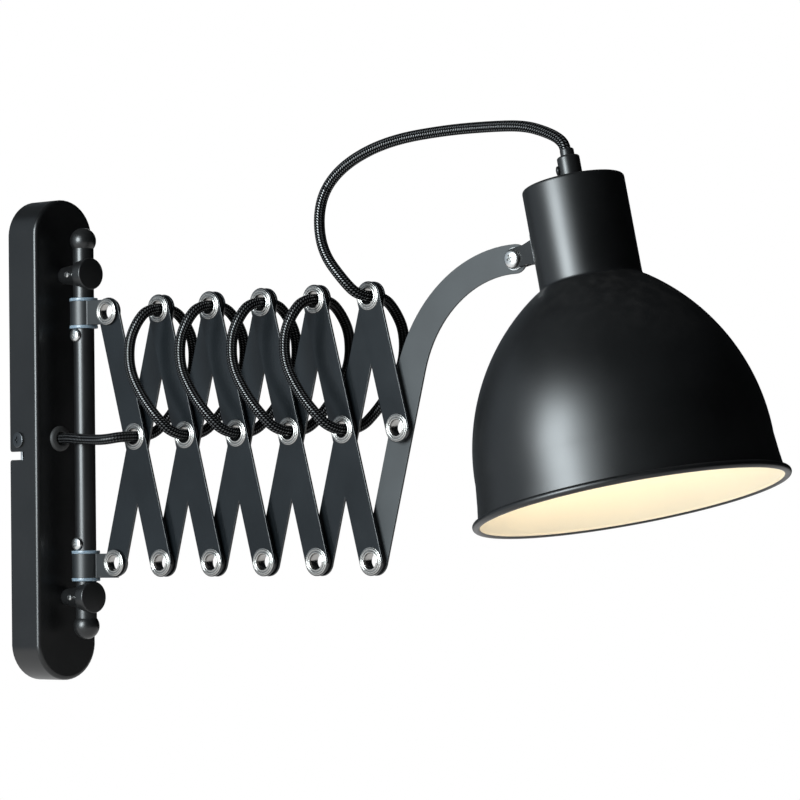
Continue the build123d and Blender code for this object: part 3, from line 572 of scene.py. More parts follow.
@dataclass(frozen=True)
class SprayedPaint(Finish):
    """Sprayed and baked paint with a fine peel, a few flecks and a little dust."""

    colour: Colour
    roughness: float
    peel: float
    peel_scale: float = 900.0
    spread: float = 0.25
    dust: float = 0.02
    drift_gloss: float = 0.025
    fleck_share: float = 0.06
    fleck_colour: Colour = (0.2, 0.2, 0.2)
    dust_colour: Colour = (0.35, 0.34, 0.32)

    def dress(self, graph: Graph, shader: bpy.types.Node, groups: SurfaceGroups) -> None:
        """Links paint colour, gloss and peel.

        Args:
            graph: The material's graph.
            shader: Its shader.
            groups: The shared node groups.
        """
        place = self.object_place(graph)
        skin = self.grouped(graph, groups.paint, Vector=place, Peel_Scale=self.peel_scale)
        normal = graph.add("ShaderNodeNewGeometry").outputs["Normal"]
        dust = self.grouped(graph, groups.dust, Vector=place, Normal=normal)
        low, high = (opaque(self.colour, 1 + side * self.spread) for side in (-1, 1))
        drift = graph.mix(skin.outputs["Drift"], low, high)
        share = graph.math("MULTIPLY", skin.outputs["Fleck"], self.fleck_share)
        fleck = graph.mix(share, drift, opaque(self.fleck_colour))
        settled = graph.math("MULTIPLY", dust.outputs["Mask"], self.dust)
        graph.put(shader, "Base Color", graph.mix(settled, fleck, opaque(self.dust_colour)))
        matt, shiny = self.roughness + self.drift_gloss, self.roughness - self.drift_gloss
        gloss = graph.ramp(skin.outputs["Drift"], 0.0, 1.0, shiny, matt)
        graph.put(shader, "Roughness", graph.math("ADD", gloss, graph.math("MULTIPLY", settled, 2.0)))
        graph.put(shader, "Normal", graph.bump(skin.outputs["Height"], self.peel * MM))


@dataclass(frozen=True)
class WorkedMetal(Finish):
    """Plated or plain metal with fine tool marks and dull smudges."""

    colour: Colour
    roughness: float
    ring_scale: float = 6000.0
    marks: float = 0.006
    dulled: float = 0.86
    ring_gloss: float = 0.05
    smudge_gloss: float = 0.06

    def dress(self, graph: Graph, shader: bpy.types.Node, groups: SurfaceGroups) -> None:
        """Links metal colour, gloss and tool marks.

        Args:
            graph: The material's graph.
            shader: Its shader.
            groups: The shared node groups.
        """
        coordinates = graph.add("ShaderNodeTexCoord")
        turned = self.grouped(
            graph,
            groups.turned,
            Vector=coordinates.outputs["UV"],
            Place=coordinates.outputs["Object"],
            Ring_Scale=self.ring_scale,
        )
        smudge, dull = turned.outputs["Smudge"], opaque(self.colour, self.dulled)
        graph.put(shader, "Metallic", 1.0)
        graph.put(shader, "Base Color", graph.mix(smudge, opaque(self.colour), dull))
        matt, shiny = self.roughness + self.ring_gloss, self.roughness - self.ring_gloss
        gloss = graph.ramp(turned.outputs["Rings"], 0.0, 1.0, shiny, matt)
        rough = graph.math("ADD", gloss, graph.math("MULTIPLY", smudge, self.smudge_gloss))
        graph.put(shader, "Roughness", rough)
        graph.put(shader, "Normal", graph.bump(turned.outputs["Height"], self.marks * MM))


@dataclass(frozen=True)
class MouldedPlastic(Finish):
    """Moulded plastic or rubber, a little translucent where asked."""

    colour: Colour
    roughness: float
    grain: float = 0.01
    grain_scale: float = 1500.0
    depth: float = 0.0
    drift_scale: float = 70.0
    deep_colour: float = 0.9

    def dress(self, graph: Graph, shader: bpy.types.Node, groups: SurfaceGroups) -> None:
        """Links plastic colour, gloss and grain.

        Args:
            graph: The material's graph.
            shader: Its shader.
            groups: The shared node groups.
        """
        skin = self.grouped(
            graph,
            groups.paint,
            Vector=self.object_place(graph),
            Peel_Scale=self.grain_scale,
            Drift_Scale=self.drift_scale,
        )
        low = opaque(self.colour, self.deep_colour)
        graph.put(shader, "Base Color", graph.mix(skin.outputs["Drift"], low, opaque(self.colour)))
        gloss = graph.ramp(skin.outputs["Drift"], 0.0, 1.0, self.roughness - 0.03, self.roughness + 0.05)
        graph.put(shader, "Roughness", gloss)
        graph.put(shader, "Normal", graph.bump(skin.outputs["Height"], self.grain * MM))
        if self.depth:
            graph.put(shader, "Subsurface Weight", 0.6)
            graph.put(shader, "Subsurface Radius", (0.8, 1.0, 1.2))
            graph.put(shader, "Subsurface Scale", self.depth * MM)


@dataclass(frozen=True)
class BraidedYarn(Finish):
    """Textile braid of the cord, read from metres along and turns round it."""

    colour: Colour = (0.001, 0.001, 0.0011)
    # crest is the lighter colour of the raised yarns, a painted highlight that stands in for their shine
    crest: Colour = (0.045, 0.0465, 0.048)
    yarns: float = 10.0
    lay: float = 0.016
    relief: float = 0.08

    def dress(self, graph: Graph, shader: bpy.types.Node, groups: SurfaceGroups) -> None:
        """Links yarn colour, a painted highlight and a clear coat on the raised yarns, and relief.

        Args:
            graph: The material's graph.
            shader: Its shader.
            groups: The shared node groups.
        """
        weave = self.grouped(
            graph,
            groups.braid,
            Vector=graph.add("ShaderNodeTexCoord").outputs["UV"],
            Yarns=self.yarns,
            Lay=self.lay,
        )
        lit = graph.ramp(weave.outputs["Crest"], 0.78, 0.96, 0.0, 1.0)
        # The lighter colour on the raised yarns is a painted highlight; the coat set on them below is real
        # gloss
        graph.put(shader, "Base Color", graph.mix(lit, opaque(self.colour), opaque(self.crest)))
        for name, value in (
            ("Roughness", 0.6),
            ("Specular IOR Level", 0.02),
            ("Coat Weight", lit),
            ("Coat Roughness", 0.34),
            ("Coat IOR", 1.79),
        ):
            graph.put(shader, name, value)
        graph.put(shader, "Normal", graph.bump(weave.outputs["Height"], self.relief * MM))


class Finishes:
    """All the finishes of the lamp, each built once."""

    def __init__(self) -> None:
        """Builds the groups and keeps the list of finishes."""
        self.groups = SurfaceGroups()
        self.made: dict[str, bpy.types.Material] = {}
        named = [
            SprayedPaint("cover_paint", "black_paint", (0.002, 0.0021, 0.0023), 0.34, 0.007),
            SprayedPaint("fitting_paint", "black_paint", (0.005, 0.0051, 0.0053), 0.34, 0.006),
            SprayedPaint("arm_paint", "arm_paint", (0.003, 0.0042, 0.0052), 0.22, 0.006, 1200.0),
            SprayedPaint("bracket_paint", "arm_paint", (0.006, 0.0072, 0.008), 0.42, 0.007, 1200.0),
            SprayedPaint("tab_paint", "black_paint", (0.003, 0.0034, 0.0036), 0.25, 0.006),
            SprayedPaint("swan_paint", "arm_paint", (0.0145, 0.0172, 0.0185), 0.45, 0.008, 1200.0),
            SprayedPaint("shade_paint", "shade_paint", (0.0025, 0.0026, 0.0028), 0.37, 0.006, 1100.0),
            SprayedPaint("inner_enamel", "shade_paint", (0.93, 0.862, 0.7), 0.38, 0.006, 700.0, 0.02, 0.0),
            WorkedMetal("eyelet_nickel", "nickel", (0.43, 0.42, 0.405), 0.22),
            WorkedMetal("screw_steel", "steel", (0.7, 0.7, 0.69), 0.26, 4000.0),
            WorkedMetal("screw_black", "black_paint", (0.1, 0.105, 0.11), 0.27, 4000.0),
            WorkedMetal("strap_zinc", "zinc_steel", (0.55, 0.56, 0.57), 0.4, 900.0, 0.01),
            MouldedPlastic("bush_plastic", "bush_plastic", (0.13, 0.17, 0.205), 0.3, 0.004, 900.0, 1.2),
            MouldedPlastic("spacer_plastic", "black_plastic", (0.02, 0.02, 0.02), 0.5),
            MouldedPlastic("block_plastic", "white_plastic", (0.82, 0.82, 0.79), 0.4),
            MouldedPlastic("holder_plastic", "holder_plastic", (0.8, 0.78, 0.72), 0.32),
            MouldedPlastic("grommet_rubber", "rubber", (0.016, 0.016, 0.016), 0.55, 0.015, 2200.0),
            BraidedYarn("cord_braid", "cord_braid"),
        ]
        self.named = {finish.name: finish for finish in named}

    def material(self, name: str) -> bpy.types.Material:
        """Material of a finish, built on first use.

        Args:
            name: The finish's name.

        Returns:
            The material.
        """
        if name not in self.made:
            self.made[name] = self.named[name].build(self.groups)
        return self.made[name]


# ---------------------------------------------------------------------------- mesh work
def object_of(name: str, bm: Shape) -> bpy.types.Object:
    """Makes a linked object of a shape.

    Args:
        name: The object's name.
        bm: Its shape; freed here.

    Returns:
        The new object.
    """
    mesh = bpy.data.meshes.new(name)
    bm.to_mesh(mesh)
    bm.free()
    item = bpy.data.objects.new(name, mesh)
    bpy.context.scene.collection.objects.link(item)
    return item


class Shop:
    """Turns bmesh work into finished pieces on the frame."""

    def __init__(self, frame: dict[str, object], finishes: Finishes) -> None:
        """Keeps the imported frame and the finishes."""
        self.frame = frame
        self.finishes = finishes

    def piece(
        self,
        name: str,
        bm: Shape,
        body: str,
        finishes: list[str],
        nodes: tuple[str, ...] = (),
        sharp_deg: float = 40.0,
        weighted: bool = False,
    ) -> bpy.types.Object:
        """Makes a shown piece out of a bmesh.

        Args:
            name: The piece's name.
            bm: Its shape in the row frame; freed here.
            body: The body it rides on.
            finishes: Its finishes, in the order of its material numbers.
            nodes: The CAD nodes it stands for.
            sharp_deg: Edges that turn more than this stay sharp.
            weighted: True for plates, whose flat faces keep their own normals.

        Returns:
            The new object.
        """
        for face in bm.faces:
            face.smooth = True
        for edge in bm.edges:
            edge.smooth = edge.calc_face_angle(0.0) < math.radians(sharp_deg)
        piece = object_of(name, bm)
        for finish in finishes:
            piece.data.materials.append(self.finishes.material(finish))
        if weighted:
            piece.modifiers.new("flat_faces", "WEIGHTED_NORMAL").keep_sharp = True
        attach(piece, body)
        if nodes:
            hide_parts(*nodes)
        LOG.info("%s: %d faces on %s", name, len(piece.data.polygons), body)
        return piece

    def repaint(self, node: str, finish: str) -> None:
        """Gives a CAD node that is shown as it is its own finish.

        Args:
            node: The CAD node.
            finish: Its finish.
        """
        item = self.frame["nodes"][node]
        item.data.materials.clear()
        item.data.materials.append(self.finishes.material(finish))
        LOG.info("%s: carried over in %s", node, finish)

    def eased_copy(
        self, node: str, body: str, finish: str, ease: float = 0.2, crease: float = 0.0
    ) -> bpy.types.Object:
        """Makes a copy of a CAD node whose edges are eased, as a pressed or moulded piece has them.

        Args:
            node: The CAD node.
            body: The body it rides on.
            finish: Its finish.
            ease: Width of the eased edge, in millimetres.
            crease: Width of the bend in its inner corners, in millimetres; 0 leaves them as they are.

        Returns:
            The new object, which replaces the node.
        """
        bm = bmesh.new()
        bm.from_mesh(self.frame["nodes"][node].data)
        bmesh.ops.remove_doubles(bm, verts=bm.verts[:], dist=LOOSE_WELD)
        bmesh.ops.dissolve_degenerate(bm, edges=bm.edges[:], dist=LOOSE_WELD)
        bmesh.ops.dissolve_limit(bm, angle_limit=math.radians(1.0), verts=bm.verts[:], edges=bm.edges[:])
        if crease:
            corners = [e for e in bm.edges if e.is_manifold and not e.is_convex and e.calc_length() > 4 * MM]
            ease_edges(bm, crease, 5, 32.0, corners)
        ease_edges(bm, ease, 2)
        set_radial_map(bm, Matrix.Identity(4))
        return self.piece(f"{node}_eased", bm, body, [finish], (node,), weighted=True)


def bevel(bm: Shape, edges: list[bmesh.types.BMEdge], width: float, segments: int) -> None:
    """Rounds the given edges.

    Args:
        bm: The shape.
        edges: Its edges to round.
        width: Width of the rounding, in millimetres.
        segments: Its number of steps.
    """
    bmesh.ops.bevel(
        bm,
        geom=edges,
        offset=width * MM,
        offset_type="OFFSET",
        segments=segments,
        profile=0.5,
        affect="EDGES",
        clamp_overlap=True,
        material=-1,
    )


def ease_edges(
    bm: Shape,
    width: float,
    segments: int,
    limit_deg: float = 32.0,
    among: list[bmesh.types.BMEdge] | None = None,
) -> None:
    """Rounds the sharp edges of a shape.

    Args:
        bm: The shape.
        width: Width of the rounding, in millimetres.
        segments: Its number of steps.
        limit_deg: Edges that turn less than this are left.
        among: The edges to choose from; all of them if it is left out.
    """
    chosen = bm.edges if among is None else among
    edges = [e for e in chosen if e.is_manifold and e.calc_face_angle(0.0) > math.radians(limit_deg)]
    bevel(bm, edges, width, segments)


def set_radial_map(bm: Shape, into_local: Matrix) -> None:
    """Writes a map of radius and height about local z, which turned finishes read.

    Args:
        bm: The shape.
        into_local: Matrix from the shape's frame to the frame whose z is the axis.
    """
    layer = bm.loops.layers.uv.verify()
    for face in bm.faces:
        for loop in face.loops:
            place = into_local @ loop.vert.co
            loop[layer].uv = (math.hypot(place.x, place.y), place.z)


def spun(profile: Profile, place: Matrix, steps: int = 48, closed: bool = False) -> Shape:
    """Spins a profile into a turned shape.

    Args:
        profile: Points of radius and height, in millimetres.
        place: Matrix from the turned shape's own axes, in metres, to the row frame.
        steps: Steps round the axis.
        closed: True joins the profile's ends.

    Returns:
        The shape, with a map of radius and height.
    """
    bm = bmesh.new()
    verts = [bm.verts.new((r * MM, 0.0, h * MM)) for r, h in profile]
    pairs = list(zip(verts, verts[1:])) + ([(verts[-1], verts[0])] if closed else [])
    edges = [bm.edges.new(pair) for pair in pairs]
    bmesh.ops.spin(
        bm,
        geom=verts + edges,
        axis=(0, 0, 1),
        cent=(0, 0, 0),
        dvec=(0, 0, 0),
        angle=math.tau,
        steps=steps,
        use_merge=True,
        use_duplicate=False,
    )
    bmesh.ops.remove_doubles(bm, verts=bm.verts[:], dist=WELD)
    bmesh.ops.dissolve_degenerate(bm, edges=bm.edges[:], dist=1e-7)
    bmesh.ops.recalc_face_normals(bm, faces=bm.faces[:])
    set_radial_map(bm, Matrix.Identity(4))
    bmesh.ops.transform(bm, matrix=place, verts=bm.verts[:])
    return bm


def rounded(points: Profile, radius: float, steps: int = 3) -> Profile:
    """Rounds the inner corners of a profile.

    Args:
        points: The profile's corners.
        radius: Length cut off each side of a corner, at most 0.45 of the shorter side.
        steps: Points added on each corner.

    Returns:
        The profile with its corners rounded.
    """
    out = [points[0]]
    for a, b, c in zip(points, points[1:], points[2:]):
        va, vb, vc = Vector(a), Vector(b), Vector(c)
        cut = min(radius, 0.45 * (va - vb).length, 0.45 * (vc - vb).length)
        start, end = vb + (va - vb).normalized() * cut, vb + (vc - vb).normalized() * cut
        for k in range(steps + 1):
            t = k / steps
            out.append(tuple(start * (1 - t) ** 2 + vb * (2 * t * (1 - t)) + end * t**2))
    out.append(points[-1])
    return out


def joined(parts: list[Shape]) -> Shape:
    """Joins shapes into one.

    Args:
        parts: The shapes; all but the first are freed.

    Returns:
        The first shape with the others in it.
    """
    first = parts[0]
    for part in parts[1:]:
        mesh = bpy.data.meshes.new("joining")
        part.to_mesh(mesh)
        part.free()
        first.from_mesh(mesh)
        bpy.data.meshes.remove(mesh)
    return first


def cut_away(bm: Shape, cutter: Shape) -> Shape:
    """Cuts one closed shape out of another.

    Args:
        bm: The shape that is cut; freed here.
        cutter: The shape that is taken out; freed here.

    Returns:
        The cut shape.
    """
    work, tool = object_of("cut_work", bm), object_of("cut_tool", cutter)
    modifier = work.modifiers.new("cut", "BOOLEAN")
    modifier.operation = "DIFFERENCE"
    modifier.solver = "EXACT"
    modifier.object = tool
    graph = bpy.context.evaluated_depsgraph_get()
    done = bpy.data.meshes.new_from_object(work.evaluated_get(graph))
    out = bmesh.new()
    out.from_mesh(done)
    bpy.data.meshes.remove(done)
    for item in (work, tool):
        mesh = item.data
        bpy.data.objects.remove(item)
        bpy.data.meshes.remove(mesh)
    bmesh.ops.remove_doubles(out, verts=out.verts[:], dist=WELD)
    return out


def arc_from(
    bm: Shape,
    start: bmesh.types.BMVert,
    centre: Vector,
    degrees: float,
    steps: int,
    axis: Point = (0, 0, 1),
) -> bmesh.types.BMVert:
    """Spins a point into an arc of edges.

    Args:
        bm: The outline.
        start: The point the arc starts from.
        centre: The arc's centre.
        degrees: How far it turns.
        steps: Its number of edges.
        axis: What it turns about.

    Returns:
        The point at its end.
    """
    made = bmesh.ops.spin(
        bm,
        geom=[start],
        axis=axis,
        cent=centre,
        dvec=(0, 0, 0),
        angle=math.radians(degrees),
        steps=steps,
        use_merge=False,
        use_duplicate=False,
    )
    return next(item for item in made["geom_last"] if isinstance(item, bmesh.types.BMVert))


def thicken(bm: Shape, faces: list[bmesh.types.BMFace], way: Point) -> None:
    """Pulls faces out into a solid.

    Args:
        bm: The shape.
        faces: Its faces to pull out.
        way: How far along each axis, in millimetres.
    """
    grown = bmesh.ops.extrude_face_region(bm, geom=faces)
    moved = [item for item in grown["geom"] if isinstance(item, bmesh.types.BMVert)]
    bmesh.ops.translate(bm, vec=[step * MM for step in way], verts=moved)


def plate_from(bm: Shape, holes: list[Point], thickness: float, ease: float) -> Shape:
    """Fills an outline with round holes, gives it a thickness and eases its edges.

    Args:
        bm: A closed outline in the local xy plane.
        holes: Centre and radius of each hole, in millimetres.
        thickness: Thickness toward local z, in millimetres.
        ease: Width of the eased edges, in millimetres.

    Returns:
        The plate.
    """
    for x, y, radius in holes:
        ring = Matrix.Translation((x * MM, y * MM, 0))
        bmesh.ops.create_circle(bm, cap_ends=False, segments=32, radius=radius * MM, matrix=ring)
    bmesh.ops.triangle_fill(bm, use_beauty=True, use_dissolve=False, edges=bm.edges[:])
    thicken(bm, bm.faces[:], (0, 0, thickness))
    bmesh.ops.recalc_face_normals(bm, faces=bm.faces[:])
    ease_edges(bm, ease, 2)
    return bm


def slot_outline(length: float, width: float) -> Shape:
    """Outline of a bar with round ends along local y.

    Args:
        length: Distance between the end centres, in millimetres.
        width: The bar's width, in millimetres.

    Returns:
        The outline's edges in the local xy plane.
    """
    bm = bmesh.new()
    segments = 48
    half_step = Matrix.Rotation(math.pi / segments, 4, "Z")
    radius = width / 2 / math.cos(math.pi / segments)
    bmesh.ops.create_circle(bm, cap_ends=False, segments=segments, radius=radius * MM, matrix=half_step)
    for sign in (-1, 1):
        end = [v for v in bm.verts if v.co.y * sign > 0]
        bmesh.ops.translate(bm, vec=(0, sign * length / 2 * MM, 0), verts=end)
    return bm


# ---------------------------------------------------------------------------- wall unit
@dataclass
class WallCover:
    """Pressed cover on the wall with its cable notch, side screws and grommet."""

    width: float = 46.5
    height: float = 300.0
    depth: float = 26.5
    wall: float = 1.2
    edge: float = 2.6
    notch_z: float = -9.9
    notch_height: float = 5.1
    notch_deep: float = 13.2
    notch_lip: float = 1.6
    side_screw_y: float = -8.5
    grommet: tuple[float, float] = (-5.0, 0.5)
    body: str = "wall_unit"

    def shell(self) -> Shape:
        """Presses the open shell.

        Returns:
            The shell in the row frame.
        """
        bm = slot_outline(self.height - self.width, self.width)
        bmesh.ops.rotate(bm, cent=(0, 0, 0), matrix=Matrix.Rotation(math.pi / 2, 3, "X"), verts=bm.verts[:])
        front = bmesh.ops.contextual_create(bm, geom=bm.edges[:])["faces"]
        thicken(bm, front, (0, -self.depth, 0))
        back = [f for f in bm.faces if all(abs(v.co.y) < 1e-7 for v in f.verts)]
        bmesh.ops.delete(bm, geom=back, context="FACES_ONLY")
        bmesh.ops.recalc_face_normals(bm, faces=bm.faces[:])
        crown = [e for e in bm.edges if all(v.co.y < -self.depth * MM + 1e-7 for v in e.verts)]
        bevel(bm, crown, self.edge, 7)
        if sum(f.normal.y * f.calc_area() for f in bm.faces) > 0:
            bmesh.ops.reverse_faces(bm, faces=bm.faces[:])
        bmesh.ops.solidify(bm, geom=bm.faces[:], thickness=self.wall * MM)
        bmesh.ops.recalc_face_normals(bm, faces=bm.faces[:])
        return bm

    def notch_tool(self) -> Shape:
        """Makes the shape that the cable notch is cut with.

        Returns:
            The cutter in the row frame.
        """
        bm = bmesh.new()
        half, lip = self.notch_height / 2, self.notch_lip
        proud, through = 2.0, 6.0
        corners = [(-self.notch_deep, -half), (-self.notch_deep, half), (-lip, half)]
        verts = [bm.verts.new((0, y * MM, z * MM)) for y, z in corners]
        lip_points = []
        for sign in (1, -1):
            start = bm.verts.new((0, -lip * MM, sign * half * MM))
            centre = Vector((0, -lip * MM, sign * (half + lip) * MM))
            lip_points.append(arc_from(bm, start, centre, sign * 90.0, 5, (1, 0, 0)))
        mouth = [bm.verts.new((0, proud * MM, s * (half + lip) * MM)) for s in (1, -1)]
        low = bm.verts.new((0, -lip * MM, -half * MM))
        for a, b in (
            (verts[0], verts[1]),
            (verts[1], verts[2]),
            (lip_points[0], mouth[0]),
            (mouth[0], mouth[1]),
            (mouth[1], lip_points[1]),
            (low, verts[0]),
        ):
            bm.edges.new((a, b))
        bmesh.ops.remove_doubles(bm, verts=bm.verts[:], dist=1e-7)
        bmesh.ops.contextual_create(bm, geom=bm.edges[:])
        start_x = -self.width / 2 * MM - proud * MM
        bmesh.ops.translate(bm, vec=(start_x, 0, self.notch_z * MM), verts=bm.verts[:])
        thicken(bm, bm.faces[:], (through, 0, 0))
        bmesh.ops.recalc_face_normals(bm, faces=bm.faces[:])
        return bm

    def grommet_shape(self) -> Shape:
        """Turns the rubber grommet round the cord.

        Returns:
            The grommet in the row frame.
        """
        front = self.depth
        profile = [
            (3.35, front - self.wall - 1.6),
            (3.35, front + 0.8),
            (4.3, front + 2.6),
            (7.0, front + 1.9),
            (8.0, front + 0.7),
            (8.0, front + 0.05),
            (6.0, front + 0.05),
            (6.0, front - self.wall),
            (7.4, front - self.wall),
            (6.6, front - self.wall - 1.6),
        ]
        place = facing((self.grommet[0], 0, self.grommet[1]), Vector((0, -1, 0)))
        return spun(rounded(profile, 0.7), place, 40, closed=True)

    def build(self, shop: Shop) -> None:
        """Makes the cover's pieces.

        Args:
            shop: Where the pieces are made.
        """
        bm = cut_away(self.shell(), self.notch_tool())
        ease_edges(bm, 0.18, 2, 50.0)
        shop.piece("cover_shell", bm, self.body, ["cover_paint"], ("wall_cover",), 35.0, weighted=True)
        shop.piece("cover_grommet", self.grommet_shape(), self.body, ["grommet_rubber"], ("cord_grommet",))
        heads = [
            PanHead(4.9, 1.6, 0.55, 1.1, 5.0).shape(
                facing((side * self.width / 2, self.side_screw_y, 0), Vector((side, 0, 0)))
            )
            for side in (-1, 1)
        ]
        shop.piece("cover_side_screws", joined(heads), self.body, ["screw_black"], ("side_screws",))


@dataclass
class PanHead:
    """Head of a cross slot screw, with its shank's start hidden under it."""

    radius: float
    height: float
    crown: float
    slot_width: float
    slot_length: float
    slot_depth: float = 1.3
    turn_deg: float = 0.0

    def shape(self, place: Matrix) -> Shape:
        """Turns the head and cuts its cross slot.

        Args:
            place: Matrix whose z runs out of the head.

        Returns:
            The head in the row frame.
        """
        flat = self.height - self.crown
        dome = [
            (self.radius * math.cos(a), flat + self.crown * math.sin(a))
            for a in (math.radians(d) for d in range(10, 91, 10))
        ]
        foot = [(0.0, 0.0), (self.radius - 0.1, 0.0), (self.radius, 0.12), (self.radius, flat * 0.9)]
        profile = foot + dome
        profile[-1] = (0.0, self.height)
        head = spun(profile, Matrix.Identity(4), 36)
        for turn in (0.0, math.pi / 2):
            tool = bmesh.new()
            size = Matrix.Diagonal((self.slot_length * MM, self.slot_width * MM, 2 * self.slot_depth * MM, 1))
            spin = Matrix.Rotation(turn + math.radians(self.turn_deg), 4, "Z")
            lift = Matrix.Translation((0, 0, self.height * MM))
            bmesh.ops.create_cube(tool, size=1.0, matrix=lift @ spin @ size)
            floor = [v for v in tool.verts if v.co.z < self.height * MM]
            bmesh.ops.scale(tool, vec=(0.72, 0.72, 1), verts=floor)
            head = cut_away(head, tool)
        set_radial_map(head, Matrix.Identity(4))
        bmesh.ops.transform(head, matrix=place, verts=head.verts[:])
        return head


@dataclass
class PivotRod:
    """Rod in front of the cover, with its posts, balls and stop screws."""

    radius: float = 6.5
    ball: float = 8.1
    ball_zs: tuple[float, float] = (123.2, -116.3)
    post_z: float = 102.4
    post_base_y: float = 26.5
    post_head: float = 9.9
    stop_x: float = 6.2
    stop_head: float = 4.1
    set_screw_y: float = -36.8
    set_screw_out: float = 7.6
    clip_height: float = 15.0
    flange: float = 2.0
    low_drop: float = 1.7
    body: str = "wall_unit"

    @property
    def clip_zs(self) -> tuple[float, float]:
        """Middle heights of the upper and the lower clip."""
        top, low = ARM.pivot(Row.TOP, 1)[1], ARM.pivot(Row.LOW, 1)[1]
        return top, low - self.low_drop

    @property
    def low_post_z(self) -> float:
        """Height of the lower post, just under the lower bush."""
        return self.clip_zs[1] - self.clip_height / 2 - self.flange - ARM.play - self.post_head

    @property
    def stop_zs(self) -> tuple[float, float]:
        """Heights of the stop screws, under the upper bush and over the lower one."""
        reach = self.clip_height / 2 + self.flange + ARM.play + self.stop_head
        return self.clip_zs[0] - reach, self.clip_zs[1] + reach

    def ball_shape(self, z: float, up: int) -> Shape:
        """Turns one ball with a flat where it meets the rod.

        Args:
            z: Height of its middle.
            up: 1 for the upper ball, -1 for the lower one.

        Returns:
            The ball in the row frame.
        """
        flat = math.asin(self.radius / self.ball)
        angles = [flat + (math.pi - flat) * k / 24 for k in range(25)]
        profile = [(0.0, self.ball * -math.cos(flat))]
        profile += [(self.ball * math.sin(a), -self.ball * math.cos(a)) for a in angles]
        profile[-1] = (0.0, self.ball)
        return spun(profile, facing((0, ARM.rod_y, z), Vector((0, 0, up))), 48)

    def post_shape(self, z: float) -> Shape:
        """Turns one post with its flared neck and round head.

        Args:
            z: Its height.

        Returns:
            The post in the row frame.
        """
        base, head = self.post_base_y, self.post_head
        neck = [(0.0, base), (5.3, base), (5.3, base + 0.8), (6.1, 34.5), (7.2, 42.0), (head - 0.5, 44.8)]
        disc = [(head - 0.5, 44.8), (head, 45.7), (head, 52.0), (head - 0.45, 52.55), (0.0, 52.6)]
        profile = rounded(neck, 0.8, 4) + rounded(disc, 0.3, 3)[1:]
        return spun(profile, facing((0, 0, z), Vector((0, -1, 0))), 64)

    def set_screw_shape(self, z: float) -> Shape:
        """Turns one set screw with a chamfered end and a hexagon socket.

        Args:
            z: Its height.

        Returns:
            The screw in the row frame.
        """
        start, end = 2.5, self.set_screw_out
        profile = [(0.0, start), (1.85, start), (1.85, end - 0.6), (1.25, end), (0.0, end)]
        screw = spun(profile, Matrix.Identity(4), 30)
        tool = bmesh.new()
        lift = Matrix.Translation((0, 0, end * MM))
        socket, deep = 0.9 * MM, 3 * MM
        bmesh.ops.create_cone(
            tool, cap_ends=True, segments=6, radius1=socket, radius2=socket, depth=deep, matrix=lift
        )
        screw = cut_away(screw, tool)
        set_radial_map(screw, Matrix.Identity(4))
        place = facing((0, self.set_screw_y, z), Vector((-1, 0, 0)))
        bmesh.ops.transform(screw, matrix=place, verts=screw.verts[:])
        return screw

    def build(self, shop: Shop) -> None:
        """Makes the rod, balls, posts, set screws and stop screws.

        Args:
            shop: Where the pieces are made.
        """
        drop = math.sqrt(self.ball**2 - self.radius**2)
        top, low = self.ball_zs[0] - drop, self.ball_zs[1] + drop
        profile = [(0.0, low), (self.radius, low), (self.radius, top), (0.0, top)]
        rod = spun(profile, facing((0, ARM.rod_y, 0), Vector((0, 0, 1))), 56)
        shop.piece("rod_bar", rod, self.body, ["fitting_paint"], ("pivot_rod",))
        balls = [self.ball_shape(self.ball_zs[0], 1), self.ball_shape(self.ball_zs[1], -1)]
        shop.piece("rod_end_balls", joined(balls), self.body, ["fitting_paint"], ("rod_balls",))
        post_zs = (self.post_z, self.low_post_z)
        posts = [self.post_shape(z) for z in post_zs]
        shop.piece("rod_carrier_posts", joined(posts), self.body, ["fitting_paint"], ("rod_posts",), 30.0)
        sets = [self.set_screw_shape(z) for z in post_zs]
        shop.piece("set_screw_sockets", joined(sets), self.body, ["screw_steel"], ("post_set_screws",), 30.0)
        stops = [
            PanHead(self.stop_head, 2.8, 1.5, 1.0, 4.4, 1.4, 15.0).shape(
                facing((-self.stop_x, ARM.rod_y, z), Vector((-1, 0, 0)))
            )
            for z in self.stop_zs
        ]
        shop.piece("stop_screw_heads", joined(stops), self.body, ["screw_steel"], ("stop_screws",))


@dataclass
class RodBrackets:
    """The two straps on the rod that carry the scissor arm, with their plastic bushes."""

    bush_in: float = 6.56
    bush_wall: float = 0.6
    flange_radius: float = 8.8

    def bush_shape(self, rod: PivotRod, z: float) -> Shape:
        """Turns one flanged bush.

        Args:
            rod: The rod it runs on, with the clip's height and the flange.
            z: Its middle height.

        Returns:
            The bush in the row frame.
        """
        half, out, edge = rod.clip_height / 2, self.bush_in + self.bush_wall, self.flange_radius
        end = half + rod.flange
        upper = [(out, half), (edge, half), (edge, end), (self.bush_in, end)]
        profile = [(r, -h) for r, h in reversed(upper)] + upper
        eased = rounded(profile, 0.45, 2)
        return spun(eased, facing((0, ARM.rod_y, z), Vector((0, 0, 1))), 48, closed=True)

    def build(self, shop: Shop, rod: PivotRod) -> None:
        """Makes the bushes and the straps of both brackets.

        Args:
            shop: Where the pieces are made.
            rod: The rod that they run on.
        """
        for which, body, z in zip(("upper", "lower"), ("upper_slider", "lower_swivel"), rod.clip_zs):
            bush = self.bush_shape(rod, z)
            shop.piece(f"{which}_bush_sleeve", bush, body, ["bush_plastic"], (f"{which}_bush",))
            shop.eased_copy(f"{which}_bracket", body, "bracket_paint", 0.22, 0.9)


